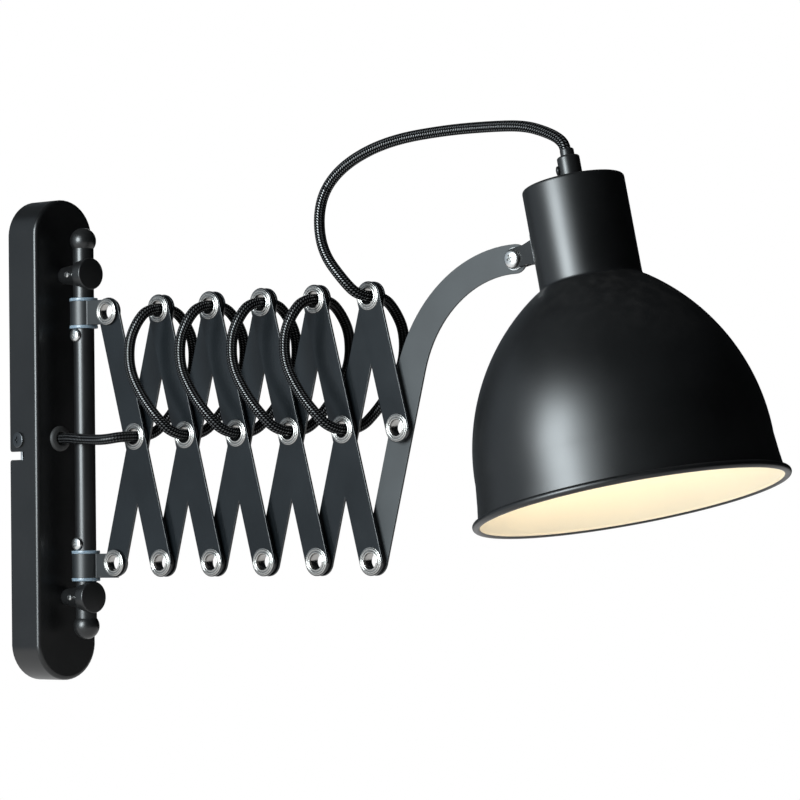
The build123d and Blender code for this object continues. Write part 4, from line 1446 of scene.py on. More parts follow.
# ---------------------------------------------------------------------------- scissor arm
@dataclass
class Eyelet:
    """Tubular rivet with a rolled near flange and a turned-over back rim."""

    hole: float = 4.65
    barrel: float = 5.25
    flange: float = 8.3
    back: float = 7.6
    bar_play: float = 0.02

    @property
    def bar_hole(self) -> float:
        """Radius of the hole that it needs in a bar."""
        return self.barrel + self.bar_play

    def shape(self, s: float, z: float, face: float, back: float) -> Shape:
        """Turns one eyelet.

        Args:
            s: Distance out from the rod.
            z: Height.
            face: The near face that the flange lies on.
            back: The far face that the rim is turned over.

        Returns:
            The eyelet in the row frame.
        """
        h, b = self.hole, self.barrel
        profile = [
            (h, back - 0.35),
            (h, face + 0.25),
            (h + 0.1, face + 0.6),
            (h + 0.35, face + 0.9),
            (b, face + 1.0),
            (b + 0.35, face + 0.94),
            (b + 0.6, face + 0.7),
            (b + 0.75, face + 0.32),
            (b + 1.05, face + 0.3),
            (b + 1.2, face + 0.66),
            (b + 1.4, face + 0.8),
            (b + 1.85, face + 0.76),
            (b + 2.0, face + 0.6),
            (b + 2.15, face + 0.24),
            (b + 2.35, face + 0.26),
            (b + 2.5, face + 0.5),
            (self.flange - 0.3, face + 0.5),
            (self.flange - 0.1, face + 0.28),
            (self.flange, face + 0.02),
            (b, face + 0.02),
            (b, back - 0.02),
            (self.back, back - 0.02),
            (self.back - 0.05, back - 0.3),
            (self.back - 0.5, back - 0.65),
            (self.back - 1.1, back - 0.8),
            (h + 0.55, back - 0.8),
            (h + 0.15, back - 0.65),
        ]
        return spun(profile, ARM.frame(s, z, 0), 44, closed=True)


@dataclass
class ScissorArm:
    """The crossed bars, their eyelets and spacer rings."""

    eyelet: Eyelet = field(default_factory=Eyelet)
    ease: float = 0.24

    def bar_shape(self, layer: Layer, i: int) -> Shape:
        """Punches one whole bar.

        Args:
            layer: The layer it lies in.
            i: The number of its cell.

        Returns:
            The bar in the row frame.
        """
        half, hole = ARM.bar_length / 2, self.eyelet.bar_hole
        holes = [(0.0, y, hole) for y in (-half, 0.0, half)]
        bm = plate_from(slot_outline(ARM.bar_length, ARM.bar_width), holes, ARM.plate, self.ease)
        lean = ARM.lean if layer is Layer.NEAR else -ARM.lean
        n = ARM.near_n if layer is Layer.NEAR else ARM.far_n
        place = ARM.frame(*ARM.pivot(Row.MIDDLE, i), n) @ Matrix.Rotation(lean, 4, "Z")
        bmesh.ops.transform(bm, matrix=place, verts=bm.verts[:])
        return bm

    def half_bar_shape(self) -> Shape:
        """Punches the short near bar at the end.

        Returns:
            The bar in the row frame.
        """
        last = ARM.cells + 1
        reach, hole = ARM.bar_length / 4, self.eyelet.bar_hole
        holes = [(0.0, -reach, hole), (0.0, reach, hole)]
        bm = plate_from(slot_outline(ARM.bar_length / 2, ARM.bar_width), holes, ARM.plate, self.ease)
        top, middle = ARM.pivot(Row.TOP, last), ARM.pivot(Row.MIDDLE, last)
        place = ARM.frame((top[0] + middle[0]) / 2, (top[1] + middle[1]) / 2, ARM.near_n)
        bmesh.ops.transform(bm, matrix=place @ Matrix.Rotation(ARM.lean, 4, "Z"), verts=bm.verts[:])
        return bm

    def eyelet_places(self, i: int) -> list[tuple[float, float]]:
        """Pivots whose eyelets are fixed in a near bar.

        Args:
            i: The bar's number.

        Returns:
            Their places in the arm's plane.
        """
        spots = [ARM.pivot(Row.MIDDLE, i)]
        if i > 1:
            spots.append(ARM.pivot(Row.TOP, i))
        if i < ARM.cells + 1:
            spots.append(ARM.pivot(Row.LOW, i + 1))
        return spots

    def build(self, shop: Shop) -> None:
        """Makes every bar, eyelet and spacer.

        Args:
            shop: Where the pieces are made.
        """
        last = ARM.cells + 1
        for i in range(1, last):
            bar = self.bar_shape(Layer.NEAR, i)
            name, node = f"near_bar_plate_{i}", f"near_bar_{i}"
            shop.piece(name, bar, f"near_{i}", ["arm_paint"], (node,), weighted=True)
            bar = self.bar_shape(Layer.FAR, i)
            shop.piece(f"far_bar_plate_{i}", bar, f"far_{i}", ["arm_paint"], (f"far_bar_{i}",), weighted=True)
        bar = self.half_bar_shape()
        name, node = f"near_bar_plate_{last}", f"near_bar_{last}"
        shop.piece(name, bar, f"near_{last}", ["arm_paint"], (node,), weighted=True)
        face, back = ARM.near_n + ARM.plate, ARM.far_n - ARM.play
        for i in range(1, last + 1):
            rivets = joined([self.eyelet.shape(s, z, face, back) for s, z in self.eyelet_places(i)])
            shop.piece(f"eyelet_rivets_{i}", rivets, f"near_{i}", ["eyelet_nickel"], (f"eyelets_{i}",), 50.0)
            shop.repaint(f"spacers_{i}", "spacer_plastic")
        for which, row, body, n in (
            ("upper", Row.TOP, "upper_slider", ARM.near_n),
            ("lower", Row.LOW, "lower_swivel", ARM.far_n),
        ):
            ear = ARM.plate + ARM.play
            rivet = self.eyelet.shape(*ARM.pivot(row, 1), n + ear + ARM.plate, n - ear)
            shop.piece(f"{which}_ear_rivet", rivet, body, ["eyelet_nickel"], (f"{which}_eyelet",), 50.0)


@dataclass
class SwanArm:
    """The long far bar that sweeps up to the shade's knuckle."""

    in_radius: float = 71.8
    in_z: float = 14.3
    out_radius: float = 94.4
    out_s: float = 345.6
    out_z: float = 8.75
    blend: float = 6.0
    knuckle_hole: float = 2.55
    ease: float = 0.24

    def outline(self) -> Shape:
        """Draws the arm's outline.

        Returns:
            The outline's edges in arm axes.
        """
        last, width = ARM.cells + 1, ARM.bar_width / 2
        low, middle = Vector(ARM.pivot(Row.LOW, last)), Vector(ARM.pivot(Row.MIDDLE, last))
        along = Vector((math.sin(ARM.lean), math.cos(ARM.lean)))
        side = Vector((math.cos(ARM.lean), -math.sin(ARM.lean)))
        base = middle.x + (self.in_z - middle.y) * math.tan(ARM.lean) + width / math.cos(ARM.lean)
        in_centre = Vector((base + self.in_radius / math.cos(ARM.lean), self.in_z))
        out_centre = Vector((self.out_s, self.out_z))
        in_start = in_centre - side * self.in_radius
        out_start = out_centre - side * self.out_radius
        in_end_x = SHADE.knuckle_s - in_centre.x
        in_end = in_centre + Vector((in_end_x, math.sqrt(self.in_radius**2 - in_end_x**2)))
        out_end_x = SHADE.knuckle_s - out_centre.x
        out_end = out_centre + Vector((out_end_x, math.sqrt(self.out_radius**2 - out_end_x**2)))
        bm = bmesh.new()

        def at(point: Vector) -> bmesh.types.BMVert:
            """Adds a corner of the outline."""
            return bm.verts.new((point.x * MM, point.y * MM, 0))

        def turn(centre: Vector, start: Vector, end: Vector) -> float:
            """Angle from start to end about the centre, clockwise, in degrees."""
            return math.degrees((end - centre).angle_signed(start - centre))

        def flat(point: Vector) -> Vector:
            """The point in metres, in the plane."""
            return Vector((point.x * MM, point.y * MM, 0))

        inner = at(in_start)
        arc_from(bm, inner, flat(in_centre), turn(in_centre, in_start, in_end), 22)
        outer = at(out_start)
        arc_from(bm, outer, flat(out_centre), turn(out_centre, out_start, out_end), 24)
        cap_centre = (in_end + out_end) / 2
        cap = at(in_end)
        arc_from(bm, cap, flat(cap_centre), 180.0, 14)
        low_in, low_out = low + side * width, low - side * width
        tip = at(low_in)
        arc_from(bm, tip, flat(low), -180.0, 18)
        sweep = interpolate_bezier(
            flat(out_start),
            flat(out_start - along * self.blend),
            flat(middle - side * width + along * self.blend),
            flat(middle - side * width),
            8,
        )
        chain = [bm.verts.new(point) for point in sweep]
        for a, b in zip(chain, chain[1:]):
            bm.edges.new((a, b))
        bm.edges.new((chain[-1], at(low_out)))
        bm.edges.new((at(low_in), at(in_start)))
        bmesh.ops.remove_doubles(bm, verts=bm.verts[:], dist=4e-5)
        return bm

    def build(self, shop: Shop) -> None:
        """Punches and dresses the arm.

        Args:
            shop: Where the pieces are made.
        """
        last = ARM.cells + 1
        hole = Eyelet().bar_hole
        low, middle = ARM.pivot(Row.LOW, last), ARM.pivot(Row.MIDDLE, last)
        holes = [(*low, hole), (*middle, hole), (SHADE.knuckle_s, SHADE.knuckle_z, self.knuckle_hole)]
        bm = plate_from(self.outline(), holes, ARM.plate, self.ease)
        bmesh.ops.transform(bm, matrix=ARM.frame(0, 0, ARM.far_n), verts=bm.verts[:])
        shop.piece("swan_arm_plate", bm, "swan", ["swan_paint"], ("swan_arm",), weighted=True)


# ---------------------------------------------------------------------------- shade
@dataclass
class DomeShade:
    """Spun neck and dome with a rolled rim, black outside and enamelled inside."""

    neck: float = 29.35
    neck_height: float = 58.5
    rim: float = 86.8
    rim_height: float = 184.1
    flare: float = 2.16
    band: float = 22.8
    bead: float = 2.2
    bead_out: float = 1.6
    wall: float = 1.0
    cord_hole: float = 5.0
    crease_drop: float = 3.0
    rows: int = 34
    steps: int = 144

    @property
    def arc_height(self) -> float:
        """Height at which the dome's arc runs into the straight band."""
        return self.rim_height - self.band

    @property
    def arc_in(self) -> float:
        """How far past the axis the dome's arc has its centre."""
        rise, wide = self.arc_height - self.neck_height, self.rim - self.flare
        return (rise**2 + self.neck**2 - wide**2) / (2 * (wide - self.neck))

    def dome(self, h: float, inset: float = 0.0) -> float:
        """Radius of the dome h below the neck top, inset by a wall's thickness."""
        arc = self.rim - self.flare + self.arc_in
        return math.sqrt((arc - inset) ** 2 - (self.arc_height - h) ** 2) - self.arc_in

    def roll(self, start: int, stop: int) -> Profile:
        """Points round the rolled rim, in steps of 15 degrees.

        Args:
            start: Angle of the first point.
            stop: One degree past the last point's angle.

        Returns:
            The points, as radius and height.
        """
        centre, turn = self.rim + self.bead_out, [math.radians(a) for a in range(start, stop, 15)]
        turn.append(math.radians(stop - 1))
        return [(centre + self.bead * math.cos(a), self.rim_height + self.bead * math.sin(a)) for a in turn]

    def outer_profile(self) -> Profile:
        """Profile from the neck top over the dome to the bottom of the rolled rim.

        Returns:
            Its points, as radius and height.
        """
        top = rounded([(self.cord_hole, 0.0), (self.neck, 0.0), (self.neck, 30.0)], 2.0, 5)
        first = self.neck_height + self.crease_drop
        corner = (self.neck + 0.1, self.neck_height + 0.3)
        crease = rounded([(self.neck, self.neck_height - 4.0), corner, (self.dome(first), first)], 1.6, 4)
        heights = [first + (self.arc_height - first) * (k / self.rows) for k in range(1, self.rows + 1)]
        sweep = [(self.dome(h), h) for h in heights]
        band = [(self.rim - self.flare / 2, self.rim_height - self.band / 2)]
        return top + crease + sweep + band + self.roll(-130, 151)

    def inner_profile(self) -> Profile:
        """Profile from the bottom of the rolled rim up the inside to the neck's bore.

        Returns:
            Its points, as radius and height.
        """
        roll = self.roll(150, 186) + [(self.rim - self.wall, self.rim_height - 0.6)]
        first = self.neck_height + self.crease_drop
        span = self.arc_height - first
        heights = [self.arc_height - span * (k / self.rows) for k in range(self.rows + 1)]
        sweep = [(self.dome(h, self.wall), h) for h in heights]
        inside = self.neck - self.wall
        neck = rounded([(inside, self.neck_height), (inside, self.wall), (self.cord_hole, self.wall)], 1.2, 4)
        return roll + sweep + neck + [(self.cord_hole, 0.0)]

    def build(self, shop: Shop) -> None:
        """Spins the shade and enamels its inside.

        Args:
            shop: Where the pieces are made.
        """
        place = SHADE.frame()
        outside = spun(self.outer_profile(), place, self.steps)
        inside = spun(self.inner_profile(), place, self.steps)
        for face in inside.faces:
            face.material_index = 1
        shell = joined([outside, inside])
        bmesh.ops.remove_doubles(shell, verts=shell.verts[:], dist=LOOSE_WELD)
        bmesh.ops.recalc_face_normals(shell, faces=shell.faces[:])
        shop.piece("dome_shade_shell", shell, "shade_head", ["shade_paint", "inner_enamel"], ("shade",), 50.0)


@dataclass
class LampFittings:
    """Lampholder, cord grip and the knuckle that carries the shade."""

    grip: float = 6.5
    grip_height: float = 15.6
    collar: float = 4.0
    collar_height: float = 4.4
    cord_bore: float = 3.3
    washer: float = 0.8
    tab: float = 1.5
    nut: float = 4.0
    screw_end: float = 0.6
    body: str = "shade_head"

    def holder_shape(self) -> Shape:
        """Turns the lampholder with its grooved skirt.

        Returns:
            The lampholder in the row frame.
        """
        profile = [
            (0.0, 0.05),
            (9.0, 0.05),
            (9.0, 5.0),
            (18.0, 5.0),
            (19.5, 6.6),
            (19.5, 21.0),
            (18.8, 21.6),
            (18.8, 23.4),
            (19.5, 24.0),
            (19.5, 45.0),
            (18.9, 46.0),
            (18.9, 50.8),
            (18.0, 52.0),
            (14.2, 52.0),
            (13.4, 51.2),
            (13.4, 22.0),
            (0.0, 22.0),
        ]
        return spun(rounded(profile, 0.5, 2), SHADE.frame(1.0), 48)

    def grip_shape(self) -> Shape:
        """Turns the cord grip with its collar.

        Returns:
            The grip in the row frame.
        """
        wide, narrow, shoulder = self.grip, self.collar, self.grip_height
        top = shoulder + self.collar_height
        profile = [
            (self.cord_bore, 0.0),
            (wide, 0.0),
            (wide, shoulder - 0.7),
            (wide - 0.7, shoulder),
            (narrow + 0.2, shoulder + 0.1),
            (narrow, shoulder + 0.5),
            (narrow, top - 0.5),
            (narrow - 0.5, top),
            (self.cord_bore, top - 0.1),
        ]
        up = SHADE.frame() @ Matrix.Rotation(math.pi, 4, "X")
        return spun(rounded(profile, 0.4, 2), up, 40, closed=True)

    def grip_screw_shape(self) -> Shape:
        """Turns the small clamping screw on the grip.

        Returns:
            The screw in the row frame.
        """
        frame = SHADE.frame(-self.grip_height * 0.52)
        away = frame.to_3x3().col[0]
        near = ARM.frame().to_3x3().col[2]
        outward = (away * -0.77 + near * 0.64).normalized()
        start = frame.translation / MM + outward * (self.grip - 0.15)
        return PanHead(2.9, 1.85, 1.2, 0.8, 3.2, 0.9, 30.0).shape(facing(tuple(start), outward))

    def knuckle_screw_shape(self) -> Shape:
        """Turns the knuckle screw's head on the near tab, with its shank behind.

        Returns:
            The screw in the row frame.
        """
        beside = ARM.play / 2 + self.washer + self.tab
        front = ARM.far_n + ARM.plate + beside
        back = ARM.far_n - beside - self.nut - self.screw_end
        head = PanHead(5.2, 2.9, 1.6, 1.3, 5.6, 1.6, 24.0)
        place = ARM.frame(SHADE.knuckle_s, SHADE.knuckle_z, front)
        length = front - back + 0.2
        profile = [(0.0, 0.0), (2.1, 0.0), (2.5, 0.5), (2.5, length), (0.0, length)]
        shank = spun(profile, ARM.frame(SHADE.knuckle_s, SHADE.knuckle_z, back), 28)
        return joined([head.shape(place), shank])

    def build(self, shop: Shop) -> None:
        """Makes the holder, the grip and the knuckle's pieces.

        Args:
            shop: Where the pieces are made.
        """
        body = self.body
        shop.piece("lampholder_body", self.holder_shape(), body, ["holder_plastic"], ("lampholder",), 35.0)
        shop.piece("cord_grip_body", self.grip_shape(), body, ["fitting_paint"], ("cord_grip",))
        shop.piece("cord_grip_clamp", self.grip_screw_shape(), body, ["fitting_paint"], ("cord_grip_screw",))
        shop.eased_copy("shade_bracket", body, "tab_paint", 0.22)
        shop.eased_copy("knuckle_washers", body, "screw_steel", 0.12)
        shop.eased_copy("knuckle_nut", body, "screw_steel", 0.25)
        screw = self.knuckle_screw_shape()
        shop.piece("knuckle_screw_head", screw, body, ["screw_steel"], ("knuckle_screw",))


# ---------------------------------------------------------------------------- cord
@dataclass
class BraidedCord:
    """The one braided cord: lead, loops through the eyelets and the free loop to the shade."""

    radius: float = 3.25
    around: int = 6
    resolution: int = 14
    turn_point: Point = (211.5, 125.0, 18.0)

    def arm_route(self, points: tuple[Point, ...]) -> Route:
        """Row-frame points, in metres, of points given along the arm."""
        return [ARM.point(*point) for point in points]

    def near_loop(self, i: int) -> Route:
        """Route from top eyelet i to middle eyelet i, on the near side."""
        s0, z0 = ARM.pivot(Row.TOP, i)
        return self.arm_route(tuple((s0 + a, z0 + b, c) for a, b, c in self.loop_points()))

    def far_loop(self, i: int) -> Route:
        """Route from top eyelet i + 1 to middle eyelet i, on the far side."""
        s0, z0 = ARM.pivot(Row.TOP, i + 1)
        return self.arm_route(tuple((s0 - a, z0 + b, -c) for a, b, c in self.loop_points()))

    @staticmethod
    def loop_points() -> tuple[Point, ...]:
        """One loop from its top eyelet: out, up and away from the middle plane.

        Returns:
            The points it runs through, in millimetres from that eyelet.
        """
        down = -ARM.half_height
        return (
            (0.0, 0.0, 0.0),
            (-1.15, 0.0, 10.0),
            (-4.6, -8.2, 16.6),
            (-9.4, -20.5, 18.8),
            (-8.8, -38.0, 19.2),
            (0.6, -54.0, 18.8),
            (11.8, -67.0, 17.6),
            (ARM.pitch / 2 - 2.0, down, 10.6),
            (ARM.pitch / 2, down, 0.0),
        )

    def lead(self) -> Route:
        """Route from the terminal block through the grommet and past the rod to middle eyelet 1.

        Returns:
            The route.
        """
        inside = [Vector(p) * MM for p in ((-5.0, -12.0, 29.5), (-5.0, -12.0, 0.5), (-5.0, -32.5, 0.5))]
        s1, z1 = ARM.pivot(Row.MIDDLE, 1)
        outside = (
            (-3.1, 0.4, 10.6),
            (8.5, -0.4, 13.9),
            (20.0, -1.2, 15.8),
            (33.0, -1.6, 16.8),
            (s1 - 2.0, z1, 10.6),
            (s1, z1, 0.0),
        )
        return inside + self.arm_route(outside)

    def free_loop(self) -> Route:
        """Route from the last top eyelet over to the cord grip.

        Returns:
            The route.
        """
        s6, z6 = ARM.pivot(Row.TOP, ARM.cells + 1)
        neck_s, neck_z = SHADE.neck_top
        outside = (
            (s6, z6, 0.0),
            (s6 - 1.15, z6, 10.0),
            (229.0, 87.0, 16.0),
            (215.5, 104.0, 18.5),
            self.turn_point,
            (216.5, 143.0, 16.5),
            (233.5, 157.2, 14.5),
            (262.0, 167.4, 11.0),
            (300.0, 171.1, 5.5),
            (336.0, 171.3, 0.5),
            (354.0, 170.0, -1.6),
            (368.0, 165.6, -2.2),
            (neck_s - 8.8, neck_z + 25.6, SHADE.plane_n),
        )
        ends = [SHADE.frame(-20.4).translation, SHADE.frame(0.6).translation]
        return self.arm_route(outside) + ends

    def spline(self, route: Route, thick: bool) -> bpy.types.Object:
        """Draws a route as one smooth spline.

        Args:
            route: Its control points.
            thick: True gives it the cord's round section.

        Returns:
            The curve object.
        """
        curve = bpy.data.curves.new("cord_route", "CURVE")
        curve.dimensions = "3D"
        curve.resolution_u = self.resolution
        curve.bevel_depth = self.radius * MM if thick else 0.0
        curve.bevel_resolution = self.around
        curve.use_fill_caps = False
        line = curve.splines.new("NURBS")
        line.points.add(len(route) - 1)
        for knot, point in zip(line.points, route):
            knot.co = (*point, 1.0)
        line.order_u = 3
        line.use_endpoint_u = True
        item = bpy.data.objects.new("cord_route", curve)
        bpy.context.scene.collection.objects.link(item)
        return item

    def mesh_of(self, route: Route, thick: bool) -> bpy.types.Mesh:
        """Mesh of a route's spline.

        Args:
            route: The route.
            thick: True for a tube, False for a line.

        Returns:
            The new mesh.
        """
        item = self.spline(route, thick)
        graph = bpy.context.evaluated_depsgraph_get()
        mesh = bpy.data.meshes.new_from_object(item.evaluated_get(graph))
        curve = item.data
        bpy.data.objects.remove(item)
        bpy.data.curves.remove(curve)
        return mesh

    def tube(
        self, name: str, route: Route, start: float = 0.0, end: float = 1.0
    ) -> tuple[bpy.types.Object, Route]:
        """Makes a stretch of the cord.

        Args:
            name: The piece's name.
            route: The whole route's control points.
            start: Where the stretch starts, as a share of the spline's steps.
            end: Where it ends.

        Returns:
            The piece and the points of its centre line.
        """
        thin = self.mesh_of(route, False)
        line = [v.co.copy() for v in thin.vertices]
        bpy.data.meshes.remove(thin)
        lengths = np.concatenate([[0.0], np.cumsum([(b - a).length for a, b in zip(line, line[1:])])])
        steps = len(line) - 1
        first, last = round(start * steps), round(end * steps)
        mesh = self.mesh_of(route, True)
        bm = bmesh.new()
        bm.from_mesh(mesh)
        bpy.data.meshes.remove(mesh)
        layer = bm.loops.layers.uv.active
        outside = []
        for face in bm.faces:
            share = sum(loop[layer].uv.x for loop in face.loops) / len(face.loops) * steps
            if not first < share < last:
                outside.append(face)
            for loop in face.loops:
                loop[layer].uv.x = float(np.interp(loop[layer].uv.x * steps, range(steps + 1), lengths))
        bmesh.ops.delete(bm, geom=outside, context="FACES")
        bmesh.ops.remove_doubles(bm, verts=bm.verts[:], dist=WELD)
        bmesh.ops.holes_fill(bm, edges=[e for e in bm.edges if e.is_boundary], sides=0)
        bmesh.ops.recalc_face_normals(bm, faces=bm.faces[:])
        for face in bm.faces:
            face.smooth = len(face.verts) == 4
        return object_of(name, bm), line[first : last + 1]

    def dress(
        self,
        shop: Shop,
        piece: bpy.types.Object,
        path: Route,
        node: str,
        bodies: tuple[str, ...],
        over: tuple[Vector, Vector] | None = None,
    ) -> None:
        """Args:
            shop: The workshop.
            piece: The stretch.
            path: Its centre line; not used.
            node: The CAD node it stands for.
            bodies: The body it rides on, or the two it lies between; a stretch between two rides on neither
                and stays where it is.
            over: Given for a stretch between two bodies, where it would start and end bending; only whether
                it is given is read.
        """
        piece.data.materials.append(shop.finishes.material("cord_braid"))
        if over is None:
            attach(piece, bodies[0])
        else:
            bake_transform(piece)
        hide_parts(node)

    def build(self, shop: Shop) -> None:
        """Makes every stretch of the cord.

        Args:
            shop: Where the pieces are made.
        """
        last = ARM.cells + 1
        for i in range(2, last):
            piece, path = self.tube(f"cord_loop_near_{i}", self.near_loop(i))
            self.dress(shop, piece, path, f"cord_near_{i}", (f"near_{i}",))
        for i in range(1, last):
            piece, path = self.tube(f"cord_loop_far_{i}", self.far_loop(i))
            self.dress(shop, piece, path, f"cord_far_{i}", (f"far_{i}",))
        route, split = self.lead(), 0.56
        past_rod = ARM.point(12.0, -0.4, 14.0)
        mouth = Vector((-5.0, -31.0, 0.5)) * MM
        piece, path = self.tube("cord_lead_wall", route, 0.0, split)
        self.dress(shop, piece, path, "cord_lead", ("wall_unit", "lower_swivel"), (mouth, past_rod))
        piece, path = self.tube("cord_lead_arm", route, split, 1.0)
        eyelet = ARM.point(*ARM.pivot(Row.MIDDLE, 1), 12.0)
        self.dress(shop, piece, path, "cord_lead", ("lower_swivel", "far_1"), (path[0], eyelet))
        route, split = self.free_loop(), 0.345
        piece, path = self.tube("cord_free_rise", route, 0.0, split)
        bend_end = ARM.point(*self.turn_point)
        self.dress(shop, piece, path, "cord_loop", (f"near_{last}", "swan"), (path[0], bend_end))
        piece, path = self.tube("cord_free_span", route, split, 1.0)
        grip_mouth = SHADE.frame(-22.0).translation
        self.dress(shop, piece, path, "cord_loop", ("swan", "shade_head"), (path[0], grip_mouth))


# ---------------------------------------------------------------------------- studio
@dataclass
class Studio:
    """Pale floor, soft boxes, dark cards and the camera."""

    target: tuple[float, float, float] = (0.0, -0.32827, 0.01528)
    distance: float = 2.5
    azimuth_deg: float = 43.84
    elevation_deg: float = 1.85
    roll_deg: float = -0.66
    lens: float = 195.67
    floor_z: float = -0.45
    card_reach: float = 1.9
    card_low: float = -0.44
    card_high: float = 1.3
    glow_watts: float = 0.118
    glow_radius: float = 0.022
    glow_height: float = 140.0
    glow_shift: float = -24.0

    @property
    def look(self) -> Vector:
        """Direction that the camera looks in."""
        a, e = math.radians(self.azimuth_deg), math.radians(self.elevation_deg)
        return Vector((math.sin(a) * math.cos(e), math.cos(a) * math.cos(e), math.sin(e)))

    def camera(self) -> None:
        """Sets up the camera."""
        look, roll = self.look, math.radians(self.roll_deg)
        right = look.cross(Vector((0, 0, 1))).normalized()
        up = right.cross(look)
        level = right * math.cos(roll) + up * math.sin(roll)
        rise = up * math.cos(roll) - right * math.sin(roll)
        data = bpy.data.cameras.new("camera")
        data.lens, data.sensor_width = self.lens, 36.0
        data.clip_start, data.clip_end = 0.05, 60.0
        item = bpy.data.objects.new("camera", data)
        turn = Matrix((level, rise, -look)).transposed().to_4x4()
        item.matrix_world = Matrix.Translation(Vector(self.target) - look * self.distance) @ turn
        bpy.context.scene.collection.objects.link(item)
        bpy.context.scene.camera = item

    def soft_box(
        self,
        name: str,
        turn_deg: float,
        rise_deg: float,
        reach: float,
        size: tuple[float, float],
        level: float,
        colour: Colour = (1.0, 1.0, 1.0),
        in_gloss: bool = True,
    ) -> None:
        """Hangs a soft box that faces the lamp.

        Args:
            name: Its name.
            turn_deg: Its bearing, left of the camera as seen from the lamp.
            rise_deg: Its height above level.
            reach: Its distance, in metres.
            size: Its width and height, in metres.
            level: Its radiance.
            colour: Its tint.
            in_gloss: False keeps it out of reflections, so that it only fills.
        """
        data = bpy.data.lights.new(name, "AREA")
        data.shape, data.size, data.size_y = "RECTANGLE", *size
        data.energy = level * math.pi * size[0] * size[1]
        data.color = colour
        back = -self.look
        side = Matrix.Rotation(-math.radians(turn_deg), 3, "Z") @ Vector((back.x, back.y, 0)).normalized()
        e = math.radians(rise_deg)
        toward = side * math.cos(e) + Vector((0, 0, math.sin(e)))
        item = bpy.data.objects.new(name, data)
        item.rotation_mode = "QUATERNION"
        item.rotation_quaternion = toward.to_track_quat("Z", "Y")
        item.location = Vector(self.target) + toward * reach
        item.visible_camera, item.visible_glossy = False, in_gloss
        bpy.context.scene.collection.objects.link(item)

    def dark_card(self, name: str, from_deg: float, to_deg: float, tone: float) -> None:
        """Stands a curved dark card round the lamp that only its gloss sees.

        Args:
            name: Its name.
            from_deg: Bearing of its first edge, left of the look direction.
            to_deg: Bearing of its other edge.
            tone: How much light it gives back.
        """
        bm = bmesh.new()
        ahead = Vector((self.look.x, self.look.y, 0)).normalized()
        centre = Vector((self.target[0], self.target[1], 0))
        first = centre + Matrix.Rotation(math.radians(from_deg), 3, "Z") @ ahead * self.card_reach
        feet = [bm.verts.new(first + Vector((0, 0, z))) for z in (self.card_low, self.card_high)]
        edge = bm.edges.new(feet)
        bmesh.ops.spin(
            bm,
            geom=[*feet, edge],
            axis=(0, 0, 1),
            cent=centre,
            dvec=(0, 0, 0),
            angle=math.radians(to_deg - from_deg),
            steps=24,
            use_merge=False,
            use_duplicate=False,
        )
        self.stand_card(name, bm, tone)

    def dark_ceiling(self, name: str, radius: float, tone: float) -> None:
        """Hangs a round dark card over the lamp that only its gloss sees.

        Args:
            name: Its name.
            radius: Its radius, in metres.
            tone: How much light it gives back.
        """
        bm = bmesh.new()
        place = Matrix.Translation((self.target[0], self.target[1], self.card_high))
        bmesh.ops.create_circle(bm, cap_ends=True, segments=48, radius=radius, matrix=place)
        self.stand_card(name, bm, tone)

    @staticmethod
    def stand_card(name: str, bm: Shape, tone: float) -> None:
        """Makes a card of a shape, which only gloss sees, in an even cool grey.

        Args:
            name: Its name.
            bm: Its shape; freed here.
            tone: How much light it gives back.
        """
        material, graph = new_material(name)
        glow = graph.add("ShaderNodeEmission")
        graph.put(glow, "Color", (tone * 0.86, tone, tone * 1.12, 1.0))
        graph.put(graph.add("ShaderNodeOutputMaterial"), "Surface", glow.outputs[0])
        card = object_of(name, bm)
        card.data.materials.append(material)
        card.visible_camera = card.visible_diffuse = card.visible_shadow = False
        card.visible_transmission = card.visible_volume_scatter = False

    @staticmethod
    def backdrop_share(graph: Graph) -> Socket:
        """Tells which rays see the white backdrop: those of camera, gloss and transmission.

        Args:
            graph: The node tree that it is added to.

        Returns:
            One for those rays and zero for others.
        """
        path = graph.add("ShaderNodeLightPath")
        seen = graph.math("MAXIMUM", path.outputs["Is Camera Ray"], path.outputs["Is Glossy Ray"])
        return graph.math("MAXIMUM", seen, path.outputs["Is Transmission Ray"])

    def world(self) -> None:
        """Makes the white backdrop and a low even fill."""
        world = bpy.data.worlds.new("studio")
        world.use_nodes = True
        graph = Graph(world.node_tree)
        share = self.backdrop_share(graph)
        shade = graph.add("ShaderNodeBackground")
        graph.put(shade, "Color", (1.0, 1.0, 1.0, 1.0))
        graph.put(shade, "Strength", graph.ramp(share, 0.0, 1.0, 0.2, 1.0))
        graph.put(graph.add("ShaderNodeOutputWorld"), "Surface", shade.outputs[0])
        bpy.context.scene.world = world

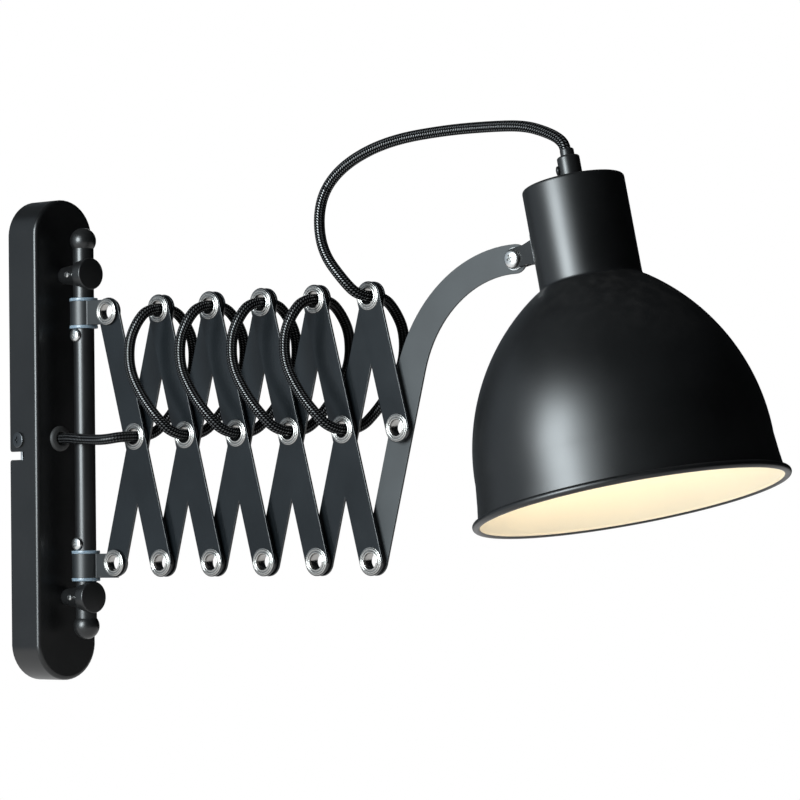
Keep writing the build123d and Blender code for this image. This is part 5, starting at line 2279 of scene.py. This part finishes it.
    def floor(self) -> None:
        """Lays the pale round floor, which keeps the lamp's soft shadow and fades into the backdrop."""
        bm = bmesh.new()
        place = Matrix.Translation((self.target[0], self.target[1], self.floor_z))
        bmesh.ops.create_circle(bm, cap_ends=True, segments=64, radius=3.0, matrix=place)
        material, graph = new_material("studio_floor")
        paint = graph.add("ShaderNodeBsdfPrincipled")
        graph.put(paint, "Base Color", (0.55, 0.55, 0.55, 1.0))
        graph.put(paint, "Roughness", 0.9)
        glow = graph.add("ShaderNodeEmission")
        graph.put(glow, "Color", (1.0, 1.0, 1.0, 1.0))
        reach = graph.add("ShaderNodeVectorMath", operation="DISTANCE")
        graph.put(reach, 0, graph.add("ShaderNodeTexCoord").outputs["Object"])
        graph.put(reach, 1, (self.target[0], self.target[1], self.floor_z))
        fade = graph.ramp(reach.outputs["Value"], 0.9, 2.4, 0.7, 1.0)
        blend = graph.add("ShaderNodeMixShader")
        graph.put(blend, 0, graph.math("MULTIPLY", self.backdrop_share(graph), fade))
        graph.put(blend, 1, paint.outputs[0])
        graph.put(blend, 2, glow.outputs[0])
        graph.put(graph.add("ShaderNodeOutputMaterial"), "Surface", blend.outputs[0])
        item = object_of("studio_floor", bm)
        item.data.materials.append(material)

    def bulb_glow(self) -> None:
        """Puts a small warm light inside the shade, which moves with it."""
        data = bpy.data.lights.new("inner_glow", "POINT")
        data.energy, data.shadow_soft_size = self.glow_watts, self.glow_radius
        data.color = (1.0, 0.86, 0.72)
        item = bpy.data.objects.new("inner_glow", data)
        shift = Matrix.Translation((self.glow_shift * MM, 0, 0))
        item.matrix_world = SHADE.frame(self.glow_height) @ shift
        item.visible_camera = False
        bpy.context.scene.collection.objects.link(item)
        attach(item, "shade_head")

    def build(self) -> None:
        """Sets up the whole studio."""
        self.camera()
        self.world()
        self.floor()
        self.soft_box("key_box", 48.0, 12.0, 2.3, (1.2, 1.25), 25.0, (0.87, 0.96, 1.0))
        self.soft_box("top_box", 60.0, 84.0, 2.2, (1.8, 1.8), 3.6, in_gloss=False)
        self.soft_box("fill_box", -75.0, 20.0, 2.6, (0.9, 1.4), 0.5, in_gloss=False)
        self.soft_box("back_box", 168.0, 30.0, 2.6, (1.0, 1.0), 1.0)
        self.dark_card("card_behind_left", 4.0, 56.0, 0.12)
        self.dark_card("card_left", 56.0, 110.0, 0.45)
        self.dark_card("card_right", -4.0, -219.0, 0.006)
        self.dark_ceiling("card_above", 2.3, 0.02)
        self.bulb_glow()
        LOG.info("studio: camera, floor, soft boxes and cards")


def main() -> None:
    """Builds the lamp in order and sets up the studio."""
    logging.basicConfig(level=logging.INFO, format="%(name)s: %(message)s")
    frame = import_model()
    shop = Shop(frame, Finishes())
    bpy.context.scene.view_settings.view_transform = "Standard"
    Studio().build()
    BraidedCord().build(shop)
    WallCover().build(shop)
    rod = PivotRod()
    rod.build(shop)
    RodBrackets().build(shop, rod)
    ScissorArm().build(shop)
    SwanArm().build(shop)
    DomeShade().build(shop)
    LampFittings().build(shop)
    shop.eased_copy("wall_strap", "wall_unit", "strap_zinc", 0.2)
    shop.eased_copy("terminal_block", "wall_unit", "block_plastic", 0.2)
    shop.repaint("post_screws", "screw_steel")


if __name__ == "__main__":
    main()
